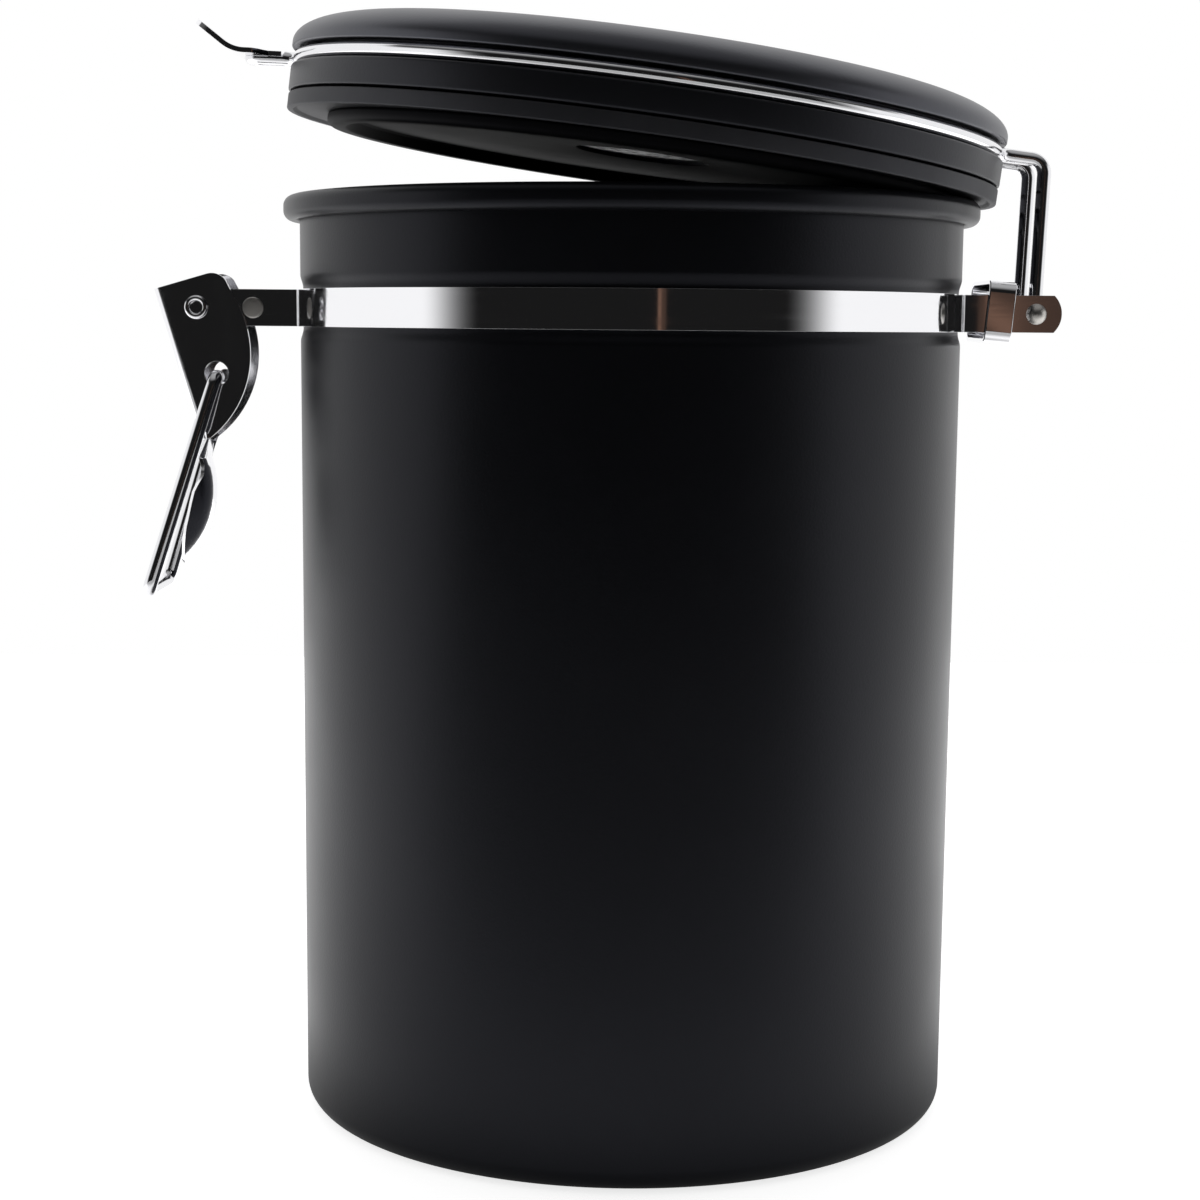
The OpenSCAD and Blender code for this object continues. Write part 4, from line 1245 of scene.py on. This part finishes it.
class CANISTER_OT_studio(bpy.types.Operator):
    """Sets up the floor, the light and the camera"""

    bl_idname = "canister.studio"
    bl_label = "Studio"

    def execute(self, context):
        scene = context.scene
        studio = scene.canister_studio
        self.floor(studio)
        self.surround(scene, studio)
        self.lamps(scene)
        self.camera(scene, studio)
        scene.view_settings.view_transform = "Standard"
        return {"FINISHED"}

    def floor(self, studio):
        """A pale floor that reads white, apart from the object's soft shadow."""
        bm = bmesh.new()
        bmesh.ops.create_grid(bm, x_segments=1, y_segments=1, size=0.6)
        moved(Matrix.Translation((0, 0, -0.02 * MM)), bm)
        mesh = mesh_from("studio_floor", bm)
        paper = bpy.data.materials.new("Floor paper")
        paper.use_nodes = True
        tree = paper.node_tree
        shader = tree.nodes["Principled BSDF"]
        feed(tree, shader, {
            "Base Color": (*studio.floor, 1), "Roughness": 0.8, "Specular IOR Level": 0.0,
        })
        place = add(tree, "TexCoord").outputs["Object"]
        far = add(tree, "VectorMath", {0: place}, operation="LENGTH").outputs["Value"]
        y = add(tree, "SeparateXYZ", {"Vector": place}).outputs["Y"]
        path = add(tree, "LightPath").outputs
        fade = ramp(tree, far, 0.14, 0.34, studio.floor_glow, 1.0)
        # Painted shade in mirrors: for glossy rays the floor's glow is dimmed in front, and a
        # painted contact shadow darkens it close round the base
        front = ramp(tree, y, -0.24, -0.05, studio.painted_front_shade, 1.0)
        # Painted contact shadow: the glow that mirrors see drops close round the can's base
        painted_contact_shadow = ramp(tree, far, 0.058, 0.105, 0.12, 1.0)
        mirrored = sums(tree, "MAXIMUM", product(tree, front, painted_contact_shadow), path["Is Camera Ray"])
        # The glow is for camera, glossy and transmission rays only
        seen = sums(tree, "MAXIMUM", path["Is Camera Ray"], path["Is Glossy Ray"])
        seen = sums(tree, "MAXIMUM", seen, path["Is Transmission Ray"])
        glow = add(tree, "Emission", {"Strength": product(tree, fade, mirrored)})
        both = add(tree, "AddShader", {0: shader.outputs["BSDF"], 1: glow.outputs["Emission"]})
        mix = add(tree, "MixShader", {
            "Fac": seen, 1: shader.outputs["BSDF"], 2: both.outputs["Shader"],
        })
        feed(tree, tree.nodes["Material Output"], {"Surface": mix.outputs["Shader"]})
        mesh.materials.append(paper)
        floor = bpy.data.objects.new("studio_floor", mesh)
        bpy.context.scene.collection.objects.link(floor)

    def surround(self, scene, studio):
        """White beside and behind the object, dark round the camera."""
        world = bpy.data.worlds.new("Studio surround")
        world.use_nodes = True
        scene.world = world
        tree = world.node_tree
        tree.nodes.clear()
        heading = add(tree, "TexCoord").outputs["Generated"]
        level = add(tree, "VectorMath", {0: heading, 1: (1, 1, 0)}, operation="MULTIPLY")
        compass = add(tree, "VectorMath", {0: level.outputs["Vector"]}, operation="NORMALIZE")
        around = add(tree, "SeparateXYZ", {"Vector": compass.outputs["Vector"]}).outputs
        x, y = around["X"], around["Y"]
        z = add(tree, "SeparateXYZ", {"Vector": heading}).outputs["Z"]
        side = sums(tree, "POWER", ramp(tree, y, -0.70, -0.26, 0.0, 1.0), 2.0)
        limit = ramp(tree, y, -0.1, 0.6, 0.42, 0.95)
        below = ramp(tree, sums(tree, "SUBTRACT", z, limit), -0.16, 0.10, 1.0, 0.0)
        dim = ramp(tree, z, 0.45, 0.92, studio.front, studio.ceiling)
        total = sums(tree, "MAXIMUM", product(tree, side, below, studio.surround), dim)
        grey = add(tree, "CombineColor", {"Red": total, "Green": total, "Blue": total})
        # A narrow warm patch beside the camera, for the glint in the band
        warm = product(
            tree, ramp(tree, x, 0.142, 0.149, 0.0, 1.0), ramp(tree, x, 0.155, 0.170, 1.0, 0.28),
            ramp(tree, x, 0.186, 0.196, 1.0, 0.0), ramp(tree, y, -0.9, -0.8, 1.0, 0.0),
            ramp(tree, z, 0.12, 0.2, 1.0, 0.0),
        )
        tint = add(tree, "Mix", {
            "Factor": warm, 6: grey.outputs["Color"], 7: (*studio.warm, 1),
        }, data_type="RGBA")
        light = add(tree, "Background", {"Color": tint.outputs[2]})
        plain = add(tree, "Background", {"Color": (1, 1, 1, 1)})
        mix = add(tree, "MixShader", {
            "Fac": add(tree, "LightPath").outputs["Is Camera Ray"],
            1: light.outputs["Background"], 2: plain.outputs["Background"],
        })
        add(tree, "OutputWorld", {"Surface": mix.outputs["Shader"]})

    def lamps(self, scene):
        """Soft light from both sides that no mirror shows."""
        for name, side in (("Left softbox", -1), ("Right softbox", 1)):
            data = bpy.data.lights.new(name, "AREA")
            data.shape = "RECTANGLE"
            data.size, data.size_y = 0.5, 0.8
            data.energy = 1.3
            lamp = bpy.data.objects.new(name, data)
            lamp.location = (side * 0.95, 0.25, 0.40)
            lamp.visible_glossy = False
            aim = Vector((0, 0, 0.1)) - lamp.location
            lamp.rotation_euler = aim.to_track_quat("-Z", "Y").to_euler()
            scene.collection.objects.link(lamp)

    def camera(self, scene, studio):
        ahead = Vector((
            math.sin(studio.yaw) * math.cos(studio.pitch),
            math.cos(studio.yaw) * math.cos(studio.pitch), -math.sin(studio.pitch),
        ))
        right = Vector((math.cos(studio.yaw), -math.sin(studio.yaw), 0))
        up = right.cross(ahead)
        c, s = math.cos(studio.roll), math.sin(studio.roll)
        side, top = right * c + up * s, up * c - right * s
        data = bpy.data.cameras.new("Studio camera")
        data.lens = studio.lens
        data.sensor_width = 36.0
        data.sensor_fit = "HORIZONTAL"
        data.shift_y = studio.shift
        data.clip_start = 0.01
        camera = bpy.data.objects.new("Studio camera", data)
        turned = Matrix((side, top, -ahead)).transposed().to_4x4()
        camera.matrix_world = Matrix.Translation(studio.camera_at) @ turned
        scene.collection.objects.link(camera)
        scene.camera = camera


class CANISTER_PT_pieces(bpy.types.Panel):
    """Lists the canister's pieces in the sidebar"""

    bl_idname = "CANISTER_PT_pieces"
    bl_label = "Canister"
    bl_space_type = "VIEW_3D"
    bl_region_type = "UI"
    bl_category = "Canister"

    def draw(self, context):
        for operator in OPERATORS:
            self.layout.operator(operator.bl_idname)
        for group in SETTINGS:
            settings = getattr(context.scene, group)
            box = self.layout.box()
            for name in settings.__class__.__annotations__:
                box.prop(settings, name)


SETTINGS = {
    "canister_can": CanSizes,
    "canister_clamp": ClampSizes,
    "canister_lid": LidSizes,
    "canister_latch": LatchSizes,
    "canister_valve": ValveSizes,
    "canister_colours": FinishColours,
    "canister_studio": StudioSettings,
}
OPERATORS = (
    CANISTER_OT_can, CANISTER_OT_band, CANISTER_OT_sleeve, CANISTER_OT_rivets, CANISTER_OT_lever,
    CANISTER_OT_loop, CANISTER_OT_lid_shells, CANISTER_OT_gasket_plug, CANISTER_OT_lid_wire,
    CANISTER_OT_hook, CANISTER_OT_valve, CANISTER_OT_studio,
)


def register():
    for name, group in SETTINGS.items():
        bpy.utils.register_class(group)
        setattr(bpy.types.Scene, name, bpy.props.PointerProperty(type=group))
    for operator in OPERATORS:
        bpy.utils.register_class(operator)
    bpy.utils.register_class(CANISTER_PT_pieces)


def unregister():
    bpy.utils.unregister_class(CANISTER_PT_pieces)
    for operator in reversed(OPERATORS):
        bpy.utils.unregister_class(operator)
    for name, group in SETTINGS.items():
        delattr(bpy.types.Scene, name)
        bpy.utils.unregister_class(group)


def main():
    register()
    for operator in OPERATORS:
        family, name = operator.bl_idname.split(".")
        getattr(getattr(bpy.ops, family), name)()


if __name__ == "__main__":
    main()
